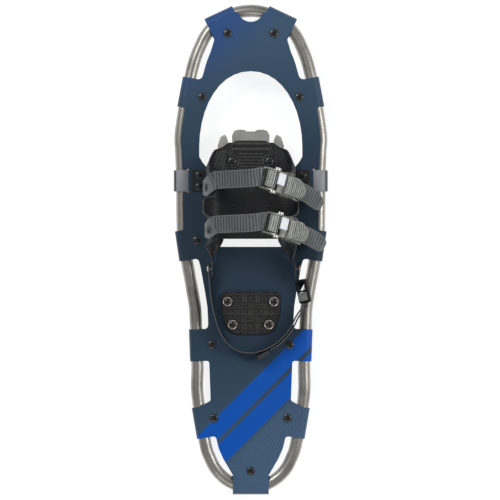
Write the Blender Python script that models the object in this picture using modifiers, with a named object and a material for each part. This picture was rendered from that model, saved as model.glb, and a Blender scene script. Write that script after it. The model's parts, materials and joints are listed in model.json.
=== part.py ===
"""A lightweight snowshoe with a pivoting boot binding, modelled in metres with +Y towards the toe.

The shoe stands on its crampon teeth at z = 0. Its origin is under the middle of the frame.
"""

from math import acos, atan2, cos, pi, radians, sin

import bmesh
import bpy
import numpy as np
from mathutils import Matrix, Vector

# Overall sizes
HALF_LENGTH = 0.3088  # from the middle to the tube's centreline at the toe and the tail
HALF_WIDTH = 0.0908  # from the middle to the tube's centreline at the widest place
GROUND_TO_DECK = 0.040  # crampon tips to the top of the deck
GAP = 0.0003  # between pieces that touch

# Frame tube
TUBE_RADIUS = 0.00794
TUBE_WALL = 0.00125
TUBE_SIDES = 12
TUBE_POINTS = 66
TUBE_SPLICE_GAP = 0.002
SLEEVE_LENGTH = 0.052
TOE_RADIUS = 0.0690
TAIL_RADIUS = 0.0555
# Shares of the half width and half length, from the toe's bend to the tail's
FRAME_SIDE = (
    (0.805, 0.785), (0.906, 0.657), (0.998, 0.486), (0.991, 0.405), (0.976, 0.285), (0.974, 0.162),
    (0.961, 0.050), (0.902, -0.060), (0.839, -0.161), (0.793, -0.243), (0.781, -0.311), (0.760, -0.486),
    (0.757, -0.612), (0.646, -0.813),
)

# Deck sheet
DECK_THICKNESS = 0.0012
TAIL_Y = DECK_THICKNESS + 1.5 * GAP - HALF_LENGTH  # tube's centreline at the tail, inside the deck's wrap
CREST_INSET = 0.001  # deck edge inside the tube's crest where the two run together
SLOT_INSET = 0.0155  # deck edge inside the tube's centreline beside an open slot
TOE_NOTCH_RADIUS = 0.017
TOE_NOTCH_DEPTH = 0.015
FLAP_MARGIN = 0.0057  # flap beyond its rivet, towards the tube
FLAP_END = 0.0068  # and away from it
WRAP_STEP = radians(24)
# Place along the frame as a share of the half length, reach before and after it, rivet place along it,
# and rivet distance inside the tube
TABS = (
    ("toe", 0.979, 0.0098, 0.0294, 0.0005, 0.0208),
    ("upper", 0.657, 0.0195, 0.0195, 0.0020, 0.0203),
    ("middle", 0.018, 0.0196, 0.0196, -0.0040, 0.0170),
    ("lower", -0.399, 0.0206, 0.0206, 0.0, 0.0195),
    ("rear", -0.722, 0.0202, 0.0202, -0.0030, 0.0170),
)
TAIL_TAB_HALF = 0.0232
TAIL_RIVET_INSET = 0.0215
RAIL_WIDTH = 0.0241  # deck between the toe hole and the tube's centreline
HOLE_FRONT = 0.745  # shares of the half length
HOLE_WIDEST = 0.430
HOLE_REAR = 0.0035
HOLE_CORNER = 0.008
SWING_CLEARANCE = 0.004  # between the hole's rear part and the crampon that swings in it

# Rivets
RIVET_HEAD = 0.0056
RIVET_HEIGHT = 0.0022
RIVET_SHANK = 0.0020
RIVET_FOOT_HEIGHT = 0.0012
RIVET_SIDES = 8

# Pivot strap, which carries the binding and twists as it tips
PIVOT_Y = 0.0887
PIVOT_WIDTH = 0.0275
PIVOT_THICKNESS = 0.0022
PIVOT_NOTCH_REACH = 0.0082
PLATE_WIDTH = 0.0178
PLATE_LENGTH = 0.0270
PLATE_THICKNESS = 0.0020
PLATE_INSET = 0.0212  # plate's middle inside the tube's centreline
PLATE_RIVET_SPACING = 0.0145

# Binding floor
CRAMPON_HALF = 0.043
CRAMPON_SHEET = 0.0020
CRAMPON_REAR = 0.035
CRAMPON_FRONT = 0.136
BASE_THICKNESS = 0.0020
BASE_REAR = 0.022
TOE_PAD_HALF = 0.0297
TOE_PAD_REAR = 0.098
TOE_PAD_FRONT = 0.1405
TOE_PAD_THICKNESS = 0.0030
HARNESS_THICKNESS = 0.0018
BINDING_RIVET_X = 0.0240
BINDING_RIVET_FRONT = 0.1135
BINDING_RIVET_REAR = 0.0567
WING_ROOT = 0.0350
WING_RIM_X = 0.0445
WING_RIM_HEIGHT = 0.044
WING_SLOPE = radians(34)
ARM_END_LEFT = 0.0507
ARM_END_RIGHT = 0.0577
HEEL_RIVET_Y = -0.0247

# Ladder straps and ratchet buckles
LADDER_WIDTH = 0.0225
LADDER_THICKNESS = 0.0025
LADDER_ARCH = 0.0780
BUCKLE_LENGTH = 0.060
BUCKLE_INNER = 0.0240
BUCKLE_CHEEK = 0.0018
BUCKLE_FLOOR = 0.0016
BUCKLE_PIN_RADIUS = 0.0016
BUCKLE_RIVET_REACH = 0.0055
FRONT_STRAP = {
    "name": "front", "bulge": 0.0700, "anchor_y": 0.0793, "anchor_reach": 0.0130, "rise": 0.60, "crown_y": 0.0902,
    "buckle_x": 0.0372, "buckle_y": 0.0828, "buckle_turn": radians(17), "tip": (0.0905, 0.0555, 0.0215),
}
REAR_STRAP = {
    "name": "rear", "bulge": 0.0660, "anchor_y": 0.0252, "anchor_reach": 0.0075, "rise": 0.70, "crown_y": 0.0336,
    "buckle_x": 0.0407, "buckle_y": 0.0270, "buckle_turn": radians(15.5), "tip": (0.0940, 0.0030, 0.0215),
}

# Heel pad, heel crampon and heel strap
HEEL_PAD_Y = -0.0820
HEEL_PAD_LENGTH = 0.0545
HEEL_PAD_FRONT_HALF = 0.0375
HEEL_PAD_REAR_HALF = 0.0330
HEEL_PAD_THICKNESS = 0.0032
HEEL_TREAD = (0.0165, 0.0100)  # half sizes of the raised block in the middle of the pad
HEEL_TREAD_HEIGHT = 0.0004
HEEL_RIVETS = ((0.0300, -0.0671), (0.0235, -0.0968))
WEBBING_WIDTH = 0.0190
WEBBING_THICKNESS = 0.0016
WEBBING_CLEARANCE = 0.0008
HEEL_BUCKLE_ROLL = radians(52)

DECK_Z = GROUND_TO_DECK
TUBE_Z = DECK_Z - DECK_THICKNESS - GAP - TUBE_RADIUS
STRAP_TOP = DECK_Z - DECK_THICKNESS - GAP
STRAP_BOTTOM = STRAP_TOP - PIVOT_THICKNESS
BASE_BOTTOM = STRAP_TOP + GAP
BASE_TOP = BASE_BOTTOM + BASE_THICKNESS
CRAMPON_TOP = STRAP_BOTTOM - GAP
CRAMPON_BOTTOM = CRAMPON_TOP - CRAMPON_SHEET
FLOOR_TOP = BASE_TOP + GAP + HARNESS_THICKNESS
PAD_TOP = FLOOR_TOP + GAP + TOE_PAD_THICKNESS
HOLE_REAR_HALF = CRAMPON_HALF + SWING_CLEARANCE
RIVET_HOLE = RIVET_SHANK + GAP

PARTS = None
CUTTERS = None
MATERIALS = {}


# ---------------------------------------------------------------- scene and materials


def clear_scene():
    for obj in list(bpy.data.objects):
        bpy.data.objects.remove(obj, do_unlink=True)


def new_collection(name):
    collection = bpy.data.collections.new(name)
    bpy.context.scene.collection.children.link(collection)
    return collection


def material(name, colour, roughness, metallic=0.0):
    mat = bpy.data.materials.new(name)
    mat.use_nodes = True
    shader = mat.node_tree.nodes["Principled BSDF"]
    shader.inputs["Base Color"].default_value = (*colour, 1.0)
    shader.inputs["Roughness"].default_value = roughness
    shader.inputs["Metallic"].default_value = metallic
    mat.diffuse_color = (*colour, 1.0)
    MATERIALS[name] = mat


def make_materials():
    material("aluminium", (0.42, 0.42, 0.40), 0.38, 1.0)
    material("deck_sheet", (0.045, 0.085, 0.130), 0.45)
    material("steel", (0.55, 0.54, 0.51), 0.35, 1.0)
    material("black_rivet", (0.008, 0.008, 0.010), 0.25, 0.6)
    material("strap_grey", (0.30, 0.31, 0.33), 0.40)
    material("black_plastic", (0.012, 0.012, 0.014), 0.45)
    material("harness_grey", (0.022, 0.022, 0.024), 0.55)
    material("pad_rubber", (0.018, 0.018, 0.018), 0.65)
    material("ladder_grey", (0.090, 0.100, 0.100), 0.40)
    material("buckle_clear", (0.36, 0.37, 0.33), 0.15)
    material("webbing", (0.030, 0.030, 0.034), 0.70)
    material("cam_grey", (0.30, 0.31, 0.31), 0.30)


def add_part(obj, mat):
    obj.data.materials.clear()
    obj.data.materials.append(MATERIALS[mat])
    PARTS.objects.link(obj)
    return obj


def add_cutter(obj):
    CUTTERS.objects.link(obj)
    obj.hide_render = True
    obj.display_type = "WIRE"
    return obj


def boolean(obj, other, operation):
    modifier = obj.modifiers.new(operation.title(), "BOOLEAN")
    modifier.operation = operation
    modifier.solver = "EXACT"
    modifier.object = other


# ---------------------------------------------------------------- outlines and paths


def smooth_path(points, count):
    """Points at even spacing along a Catmull-Rom curve through the given ones."""
    p = np.array(points, float)
    p = np.vstack([2 * p[0] - p[1], p, 2 * p[-1] - p[-2]])
    t = np.linspace(0.0, 1.0, 24, endpoint=False)[:, None]
    pieces = []
    for a, b, c, d in zip(p, p[1:], p[2:], p[3:]):
        square, cube = 2 * a - 5 * b + 4 * c - d, 3 * b - a - 3 * c + d
        pieces.append(0.5 * (2 * b + (c - a) * t + square * t**2 + cube * t**3))
    curve = np.vstack([*pieces, p[-2:-1]])
    reach = np.concatenate([[0.0], np.cumsum(np.linalg.norm(np.diff(curve, axis=0), axis=1))])
    wanted = np.linspace(0.0, reach[-1], count)
    return np.stack([np.interp(wanted, reach, column) for column in curve.T], axis=1)


def arc(centre, radius, start, end, steps):
    angles = np.linspace(start, end, steps + 1)
    return [(centre[0] + radius * cos(a), centre[1] + radius * sin(a)) for a in angles]


def rounded(corners, steps=3):
    """A closed outline from (x, y, radius) corners, each radius turned into an arc."""
    outline = []
    for i, (x, y, radius) in enumerate(corners):
        here = Vector((x, y))
        if not radius:
            outline.append((x, y))
            continue
        before = (Vector(corners[i - 1][:2]) - here).normalized()
        after = (Vector(corners[(i + 1) % len(corners)][:2]) - here).normalized()
        half = before.angle(after) / 2
        centre = here + (before + after).normalized() * radius / sin(half)
        start = here + before * radius / np.tan(half) - centre
        end = here + after * radius / np.tan(half) - centre
        turn = start.angle_signed(end)
        for k in range(steps + 1):
            spoke = start.copy()
            spoke.rotate(Matrix.Rotation(-turn * k / steps, 2))
            outline.append(tuple(centre + spoke))
    return outline


def mirrored(points):
    return [(-x, y) for x, y in points]


# ---------------------------------------------------------------- solids


def mesh_object(name, bm):
    mesh = bpy.data.meshes.new(name)
    bm.to_mesh(mesh)
    bm.free()
    return bpy.data.objects.new(name, mesh)


def curve_to_mesh(name, curve, matrix):
    """The curve's evaluated mesh as an object, with its caps welded on."""
    guide = bpy.data.objects.new(name + "_curve", curve)
    bpy.context.scene.collection.objects.link(guide)
    bpy.context.view_layer.update()
    mesh = bpy.data.meshes.new_from_object(guide.evaluated_get(bpy.context.evaluated_depsgraph_get()))
    bpy.data.objects.remove(guide, do_unlink=True)
    bm = bmesh.new()
    bm.from_mesh(mesh)
    bmesh.ops.remove_doubles(bm, verts=bm.verts, dist=1e-6)
    bmesh.ops.transform(bm, matrix=matrix, verts=bm.verts)
    bmesh.ops.recalc_face_normals(bm, faces=bm.faces)
    return mesh_object(name, bm)


def flat_solid(name, loops, thickness, matrix=None):
    """Filled outlines in the matrix's XY plane, thickened evenly to both sides of it."""
    curve = bpy.data.curves.new(name, "CURVE")
    curve.dimensions = "2D"
    curve.fill_mode = "BOTH"
    curve.extrude = thickness / 2
    for loop in loops:
        spline = curve.splines.new("POLY")
        spline.points.add(len(loop) - 1)
        for point, (x, y) in zip(spline.points, loop):
            point.co = (x, y, 0.0, 1.0)
        spline.use_cyclic_u = True
    return curve_to_mesh(name, curve, matrix or Matrix.Identity(4))


def rod(name, path, radius, sides, caps=True):
    """A round bar or, with no caps, an open pipe surface along a path of 3D points."""
    curve = bpy.data.curves.new(name, "CURVE")
    curve.dimensions = "3D"
    curve.bevel_depth = radius
    curve.bevel_resolution = sides // 2 - 2
    curve.use_fill_caps = caps
    spline = curve.splines.new("POLY")
    spline.points.add(len(path) - 1)
    for point, place in zip(spline.points, path):
        point.co = (*place, 1.0)
    return curve_to_mesh(name, curve, Matrix.Identity(4))


def turned(name, profile, matrix, steps=RIVET_SIDES):
    """A solid of revolution about the matrix's Z axis, from (radius, height) points, top to bottom."""
    bm = bmesh.new()
    points = [bm.verts.new((radius, 0.0, height)) for radius, height in profile]
    for a, b in zip(points, points[1:]):
        bm.edges.new((a, b))
    obj = mesh_object(name, bm)
    obj.matrix_world = matrix
    screw = obj.modifiers.new("Screw", "SCREW")
    screw.steps = screw.render_steps = steps
    screw.use_merge_vertices = True
    screw.merge_threshold = 1e-5
    return obj


def sheet(name, rows, thickness, flip=False):
    """A shell through rows of points, its thickness laid on the side away from its normals."""
    bm = bmesh.new()
    grid = [[bm.verts.new(p) for p in row] for row in rows]
    for lower, upper in zip(grid, grid[1:]):
        for k in range(len(lower) - 1):
            bm.faces.new((lower[k], lower[k + 1], upper[k + 1], upper[k]))
    if flip:
        bmesh.ops.reverse_faces(bm, faces=bm.faces)
    obj = mesh_object(name, bm)
    solidify(obj, thickness, -1.0)
    return obj


def solidify(obj, thickness, offset):
    modifier = obj.modifiers.new("Solidify", "SOLIDIFY")
    modifier.thickness = thickness
    modifier.offset = offset
    modifier.use_even_offset = True


def ribbon(name, centres, sides, width, thickness):
    """A strap whose middle follows the centres, with its width along each side vector."""
    halves = [Vector(side) * width / 2 for side in sides]
    rows = [(Vector(centre) - half, Vector(centre) + half) for centre, half in zip(centres, halves)]
    obj = sheet(name, rows, thickness)
    obj.modifiers["Solidify"].offset = 0.0
    return obj


def rivet(name, place, axis, drop, radius=RIVET_HEAD, height=RIVET_HEIGHT, foot=2.0):
    """A domed rivet on a surface at place, through drop metres of material to a flat foot."""
    profile = [
        (0.0, height), (radius * 0.55, height * 0.86), (radius * 0.88, height * 0.6), (radius, GAP),
        (RIVET_SHANK, GAP), (RIVET_SHANK, -drop - GAP), (RIVET_SHANK * foot, -drop - GAP),
        (RIVET_SHANK * foot, -drop - GAP - RIVET_FOOT_HEIGHT), (0.0, -drop - GAP - RIVET_FOOT_HEIGHT),
    ]
    turn = Vector((0, 0, 1)).rotation_difference(Vector(axis)).to_matrix().to_4x4()
    return add_part(turned(name, profile, Matrix.Translation(place) @ turn), "black_rivet")


def drill(name, holes, radius):
    """One cutter of round bars, each from a (middle, axis, length) hole."""
    bm = bmesh.new()
    for place, axis, length in holes:
        turn = Vector((0, 0, 1)).rotation_difference(Vector(axis)).to_matrix().to_4x4()
        bmesh.ops.create_cone(
            bm, cap_ends=True, segments=8, radius1=radius, radius2=radius, depth=length,
            matrix=Matrix.Translation(place) @ turn,
        )
    return add_cutter(mesh_object(name, bm))


# ---------------------------------------------------------------- frame


def frame_path():
    """The right half of the tube's centreline, evenly spaced from the toe to the tail."""
    toe_centre = HALF_LENGTH - TOE_RADIUS
    tail_centre = TAIL_RADIUS + TAIL_Y
    points = arc((0.0, toe_centre), TOE_RADIUS, pi / 2, radians(22), 5)
    points += [(x * HALF_WIDTH, y * HALF_LENGTH) for x, y in FRAME_SIDE]
    points += arc((0.0, tail_centre), TAIL_RADIUS, radians(-20), -pi / 2, 5)
    return smooth_path([mirrored(points[1:2])[0], *points, mirrored(points[-2:-1])[0]], 1300)


def half_path():
    path = frame_path()
    first = np.argmax(path[:, 0] >= 0)
    last = len(path) - np.argmax(path[::-1, 0] >= 0)
    return path[first:last]


HALF_PATH = half_path()


def frame_at(y):
    """The centreline's point, its direction towards the tail and its outward normal at a given y."""
    k = int(np.clip(np.searchsorted(-HALF_PATH[:, 1], -y), 3, len(HALF_PATH) - 4))
    along = HALF_PATH[k + 3] - HALF_PATH[k - 3]
    along = Vector(along / np.linalg.norm(along))
    return Vector(HALF_PATH[k]), along, Vector((-along.y, along.x))


def inset(y_from, y_to, depth, count):
    points = []
    for y in np.linspace(y_from, y_to, count):
        place, _, normal = frame_at(y)
        points.append((*(place - normal * depth), 0.0))
    return points


def make_frame():
    whole = np.vstack([HALF_PATH[::-1], mirrored(HALF_PATH[1:])])
    path = smooth_path(whole[(np.abs(whole[:, 0]) > TUBE_SPLICE_GAP / 2) | (whole[:, 1] > 0)], TUBE_POINTS)
    tube = rod("frame_tube", [(x, y, TUBE_Z) for x, y in path], TUBE_RADIUS, TUBE_SIDES, caps=False)
    solidify(tube, TUBE_WALL, -1.0)
    add_part(tube, "aluminium")
    turn = SLEEVE_LENGTH / TAIL_RADIUS / 2
    sleeve = arc((0.0, TAIL_RADIUS + TAIL_Y), TAIL_RADIUS, -pi / 2 - turn, -pi / 2 + turn, 8)
    spacing = np.linalg.norm(path[1] - path[0])
    sag = spacing**2 / (8 * TAIL_RADIUS)
    radius = (TUBE_RADIUS - TUBE_WALL) * cos(pi / TUBE_SIDES) - sag - GAP
    add_part(rod("frame_sleeve", [(x, y, TUBE_Z) for x, y in sleeve], radius, 8), "aluminium")


# ---------------------------------------------------------------- deck


def tab_frames():
    """Each wrap tab's name, line on the tube, direction, outward normal, reach, slack and rivet place."""
    frames = []
    for name, share, before, after, rivet_along, rivet_inset in TABS:
        place, along, normal = frame_at(share * HALF_LENGTH)
        near = [Vector(p) for p in HALF_PATH if (Vector(p) - place).length < 2 * max(before, after)]
        near = [p for p in near if -before < (p - place).dot(along) < after]
        beside = [(p - place).dot(normal) for p in near]
        skew = min((near[k + 4] - near[k]).normalized().dot(along) for k in range(len(near) - 4))
        place = place + normal * max(beside)
        slack = max(beside) - min(beside) + TUBE_RADIUS * (1 / skew - 1) + GAP
        middle = (after - before) / 2
        where = place + along * (middle + rivet_along) - normal * rivet_inset
        frames.append((name, place, along, normal, -before, after, slack, where))
    place, along, normal = Vector((0.0, TAIL_Y)), Vector((-1.0, 0.0)), Vector((0.0, -1.0))
    skew = (1 - (TAIL_TAB_HALF / TAIL_RADIUS) ** 2) ** 0.5
    slack = TAIL_RADIUS * (1 - skew) + TUBE_RADIUS * (1 / skew - 1)
    where = place - normal * TAIL_RIVET_INSET
    frames.append(("tail", place, along, normal, -TAIL_TAB_HALF, TAIL_TAB_HALF, slack, where))
    return frames


TAB_FRAMES = tab_frames()


def tab_corner(index, end):
    _, place, along, _, before, after, _, _ = TAB_FRAMES[index]
    return place + along * (after if end else before)


def deck_corners():
    """The right half of the deck's outline, from the toe notch to the tail tab, as rounded corners."""
    notch = HALF_LENGTH - TOE_NOTCH_DEPTH + TOE_NOTCH_RADIUS
    corners = [(*p, 0.0) for p in arc((0.0, notch), TOE_NOTCH_RADIUS, -pi / 2, radians(-17), 5)]
    toe, upper, middle, lower, rear = (TAB_FRAMES[i][3] for i in range(5))
    at = [tab_corner(i, end) for i in range(5) for end in (0, 1)]
    corners += [(*at[0], 0.0), (*at[1], 0.0), (*(at[1] - toe * 0.021), 0.004)]
    corners += inset(at[1].y - 0.028, at[2].y + 0.012, SLOT_INSET, 4)
    corners += [(*(at[2] - upper * SLOT_INSET), 0.006), (*at[2], 0.0), (*at[3], 0.0)]
    strap = PIVOT_WIDTH / 2 + 0.0015
    corners += inset(at[3].y - 0.003, PIVOT_Y + strap, CREST_INSET, 5)
    inner = frame_at(PIVOT_Y)[0].x - PIVOT_NOTCH_REACH
    corners += [(inner, PIVOT_Y + strap, 0.0), (inner, PIVOT_Y - strap, 0.0)]
    corners += inset(PIVOT_Y - strap, at[4].y + 0.002, CREST_INSET, 4)
    corners += [(*at[4], 0.0), (*at[5], 0.0), (*(at[5] - middle * SLOT_INSET), 0.004)]
    corners += inset(at[5].y - 0.010, at[6].y + 0.010, SLOT_INSET + 0.0005, 5)
    corners += [(*(at[6] - lower * SLOT_INSET), 0.005), (*at[6], 0.0), (*at[7], 0.0)]
    beyond = at[8] - rear * SLOT_INSET + Vector((0.0, 0.006))
    corners += [(*(at[7] - lower * SLOT_INSET), 0.003), (*beyond, 0.003)]
    corners += [(*at[8], 0.0), (*at[9], 0.0), (*(at[9] - rear * SLOT_INSET), 0.004)]
    corners += inset(at[9].y - 0.012, 0.024 + TAIL_Y, SLOT_INSET, 6)
    corners += [(TAIL_TAB_HALF, 0.016 + TAIL_Y, 0.0), (TAIL_TAB_HALF, TAIL_Y, 0.0)]
    return corners


def hole_outline():
    """The toe hole: an oval front, narrowing under the binding to a straight rear edge."""
    half = frame_at(HOLE_WIDEST * HALF_LENGTH)[0].x - RAIL_WIDTH
    middle, front = HOLE_WIDEST * HALF_LENGTH, HOLE_FRONT * HALF_LENGTH
    turns = np.linspace(0.0, pi / 2, 11)
    right = [(half * sin(a) ** 0.94, middle + (front - middle) * cos(a)) for a in turns]
    right += [(half, PIVOT_Y + 0.0310), (half - 0.0045, PIVOT_Y + 0.0235)]
    right += [(HOLE_REAR_HALF + 0.002, PIVOT_Y + 0.0085), (HOLE_REAR_HALF, PIVOT_Y + 0.004)]
    right += [(HOLE_REAR_HALF, HOLE_REAR + HOLE_CORNER)]
    right += arc((HOLE_REAR_HALF - HOLE_CORNER, HOLE_REAR + HOLE_CORNER), HOLE_CORNER, 0.0, -pi / 2, 3)[1:]
    return right + mirrored(right[:0:-1])


def wrap_profile(slack, rivet_inset):
    """Outward and upward places of a tab's outer face, from the tube's crest round to its riveted flap."""
    radius = TUBE_RADIUS + 1.5 * GAP + DECK_THICKNESS
    flap_start = min(FLAP_MARGIN - rivet_inset, -slack - 0.75 * radius)
    flap_height = -2 * DECK_THICKNESS - GAP
    to_flap = Vector((flap_start + slack, flap_height + radius))
    leave = atan2(to_flap.y, to_flap.x) + acos(radius / to_flap.length) - 2 * pi
    turns = np.linspace(pi / 2, -pi / 2, round(pi / WRAP_STEP) + 1)
    points = [(radius * cos(a), radius * sin(a)) for a in turns]
    steps = round((-pi / 2 - leave) / WRAP_STEP)
    points += [(radius * cos(a) - slack, radius * sin(a)) for a in np.linspace(-pi / 2, leave, steps + 1)]
    points = [(n, z - radius) for n, z in points]
    return points + [(flap_start, flap_height), (-rivet_inset - FLAP_END, flap_height)]


def make_deck():
    right = rounded(deck_corners())
    left = mirrored(right[::-1])
    bm = bmesh.new()
    outline = right + left[:-1] if abs(right[-1][0]) < 1e-9 else right + left
    if abs(right[0][0]) < 1e-9:
        outline = outline[:-1] if abs(outline[-1][0]) < 1e-9 else outline
    for loop in (outline, hole_outline()):
        ring = [bm.verts.new((x, y, DECK_Z)) for x, y in loop]
        for a, b in zip(ring, ring[1:] + ring[:1]):
            bm.edges.new((a, b))
    bmesh.ops.triangle_fill(bm, use_beauty=True, edges=bm.edges)
    for face in bm.faces:
        if face.normal.z < 0:
            face.normal_flip()
    for index, (_, place, along, normal, before, after, slack, where) in enumerate(TAB_FRAMES):
        for side in (1, -1) if index < 5 else (1,):
            ends = [place + along * reach for reach in (before, after)]
            ends = [Vector((p.x * side, p.y, DECK_Z)) for p in ends]
            outward = Vector((normal.x * side, normal.y, 0.0))
            pair = [min(bm.verts, key=lambda v: (v.co - p).length) for p in ends]
            edge = bm.edges.get(pair)
            bases = [v.co.copy() for v in pair]
            for n, z in wrap_profile(slack + 3 * GAP, (place - where).dot(normal))[1:]:
                made = bmesh.ops.extrude_edge_only(bm, edges=[edge])["geom"]
                edge = next(g for g in made if isinstance(g, bmesh.types.BMEdge))
                for v in edge.verts:
                    base = min(bases, key=lambda b: abs((v.co - b).dot(Vector((outward.y, -outward.x, 0.0)))))
                    v.co = base + outward * n + Vector((0, 0, z))
    bmesh.ops.recalc_face_normals(bm, faces=bm.faces)
    middle = max(bm.faces, key=lambda f: f.calc_area())
    if middle.normal.z < 0:
        bmesh.ops.reverse_faces(bm, faces=bm.faces)
    deck = mesh_object("deck", bm)
    solidify(deck, DECK_THICKNESS, -1.0)
    holes = [((p.x, p.y, DECK_Z), (0, 0, 1), 0.012) for p in deck_rivet_places().values()]
    holes += [((x, y, DECK_Z), (0, 0, 1), 0.012) for x, y in plate_rivet_places()]
    holes += [((x * side, y, DECK_Z), (0, 0, 1), 0.012) for x, y in HEEL_RIVETS for side in (1, -1)]
    boolean(deck, drill("deck_holes", holes, RIVET_HOLE), "DIFFERENCE")
    add_part(deck, "deck_sheet")


def deck_rivet_places():
    places = {}
    for name, _, _, _, _, _, _, where in TAB_FRAMES:
        if name == "tail":
            places["deck_rivet_tail"] = where
            continue
        places[f"deck_rivet_{name}_right"] = where
        places[f"deck_rivet_{name}_left"] = Vector((-where.x, where.y))
    return places


def make_deck_rivets():
    for name, place in deck_rivet_places().items():
        rivet(name, (place.x, place.y, DECK_Z), (0, 0, 1), 2 * DECK_THICKNESS + GAP)


# ---------------------------------------------------------------- pivot strap


def plate_middle():
    return frame_at(PIVOT_Y)[0].x - PLATE_INSET


def plate_rivet_places():
    spacing = PLATE_RIVET_SPACING / 2
    return [(plate_middle() * side, PIVOT_Y + dy) for side in (1, -1) for dy in (-spacing, spacing)]


def make_pivot_strap():
    """A band that loops round the tube on each side, and a middle piece that the binding clamps."""
    tube = frame_at(PIVOT_Y)[0].x
    inner = HOLE_REAR_HALF + GAP
    middle_z = STRAP_TOP - PIVOT_THICKNESS / 2
    radius = TUBE_RADIUS + 3 * GAP + PIVOT_THICKNESS / 2
    turn = np.linspace(radians(118), radians(-152), 14)
    loop = [(tube + radius * cos(a), TUBE_Z + radius * sin(a)) for a in turn]
    top = [(inner, middle_z), (tube - PIVOT_NOTCH_REACH + 0.0004, middle_z), *loop]
    under = [(tube - radius * 1.3, middle_z - PIVOT_THICKNESS - GAP)]
    under += [(plate_middle() - PLATE_WIDTH / 2, middle_z - PIVOT_THICKNESS - GAP)]
    holes = [((x, y, STRAP_TOP), (0, 0, 1), 0.020) for x, y in plate_rivet_places()]
    cutter = drill("strap_holes", holes, RIVET_HOLE)
    for name, side in (("left", -1), ("right", 1)):
        centres = [(x * side, PIVOT_Y, z) for x, z in top + under]
        sides = [(0, side, 0)] * len(centres)
        strap = ribbon(f"pivot_strap_{name}", centres, sides, PIVOT_WIDTH, PIVOT_THICKNESS)
        boolean(strap, cutter, "DIFFERENCE")
        add_part(strap, "strap_grey")
        x = plate_middle() * side
        half = (PLATE_WIDTH / 2, PLATE_LENGTH / 2)
        corners = ((1, 1), (-1, 1), (-1, -1), (1, -1))
        outline = rounded([(x + a * half[0], PIVOT_Y + b * half[1], 0.002) for a, b in corners], 2)
        centre = Matrix.Translation((0, 0, DECK_Z + GAP + PLATE_THICKNESS / 2))
        plate = flat_solid(f"pivot_plate_{name}", [outline], PLATE_THICKNESS, centre)
        boolean(plate, cutter, "DIFFERENCE")
        add_part(plate, "black_plastic")
    half = inner - GAP * 2
    outline = [(x * half, PIVOT_Y + y * PIVOT_WIDTH / 2) for x, y in ((1, 1), (-1, 1), (-1, -1), (1, -1))]
    place = Matrix.Translation((0, 0, middle_z))
    centre = flat_solid("pivot_strap_centre", [outline], PIVOT_THICKNESS, place)
    add_part(centre, "strap_grey")
    drop = PLATE_THICKNESS + DECK_THICKNESS + 2 * PIVOT_THICKNESS + 4 * GAP
    for k, (x, y) in enumerate(plate_rivet_places()):
        name = f"plate_rivet_{'right' if x > 0 else 'left'}_{'rear' if k % 2 == 0 else 'front'}"
        rivet(name, (x, y, DECK_Z + GAP + PLATE_THICKNESS), (0, 0, 1), drop, RIVET_HEAD * 0.8)


# ---------------------------------------------------------------- crampons and base


def blade(name, outline, place, across, down, thickness=CRAMPON_SHEET):
    """A flat blade whose outline runs along one direction and down another."""
    across, down = Vector(across).normalized(), Vector(down).normalized()
    matrix = Matrix((across, down, across.cross(down))).transposed().to_4x4()
    return add_cutter(flat_solid(name, [outline], thickness, Matrix.Translation(place) @ matrix))


def toothed_edge(length, web, depth, teeth, flat):
    """A strip of the given length whose lower edge is cut into pointed teeth with flat tips."""
    pitch = length / teeth
    outline = [(0.0, -CRAMPON_SHEET), (length, -CRAMPON_SHEET)]
    for k in reversed(range(teeth)):
        middle = (k + 0.5) * pitch
        outline += [((k + 0.98) * pitch, web), (middle + flat, depth)]
        outline += [(middle - flat, depth), ((k + 0.02) * pitch, web)]
    return outline


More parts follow.
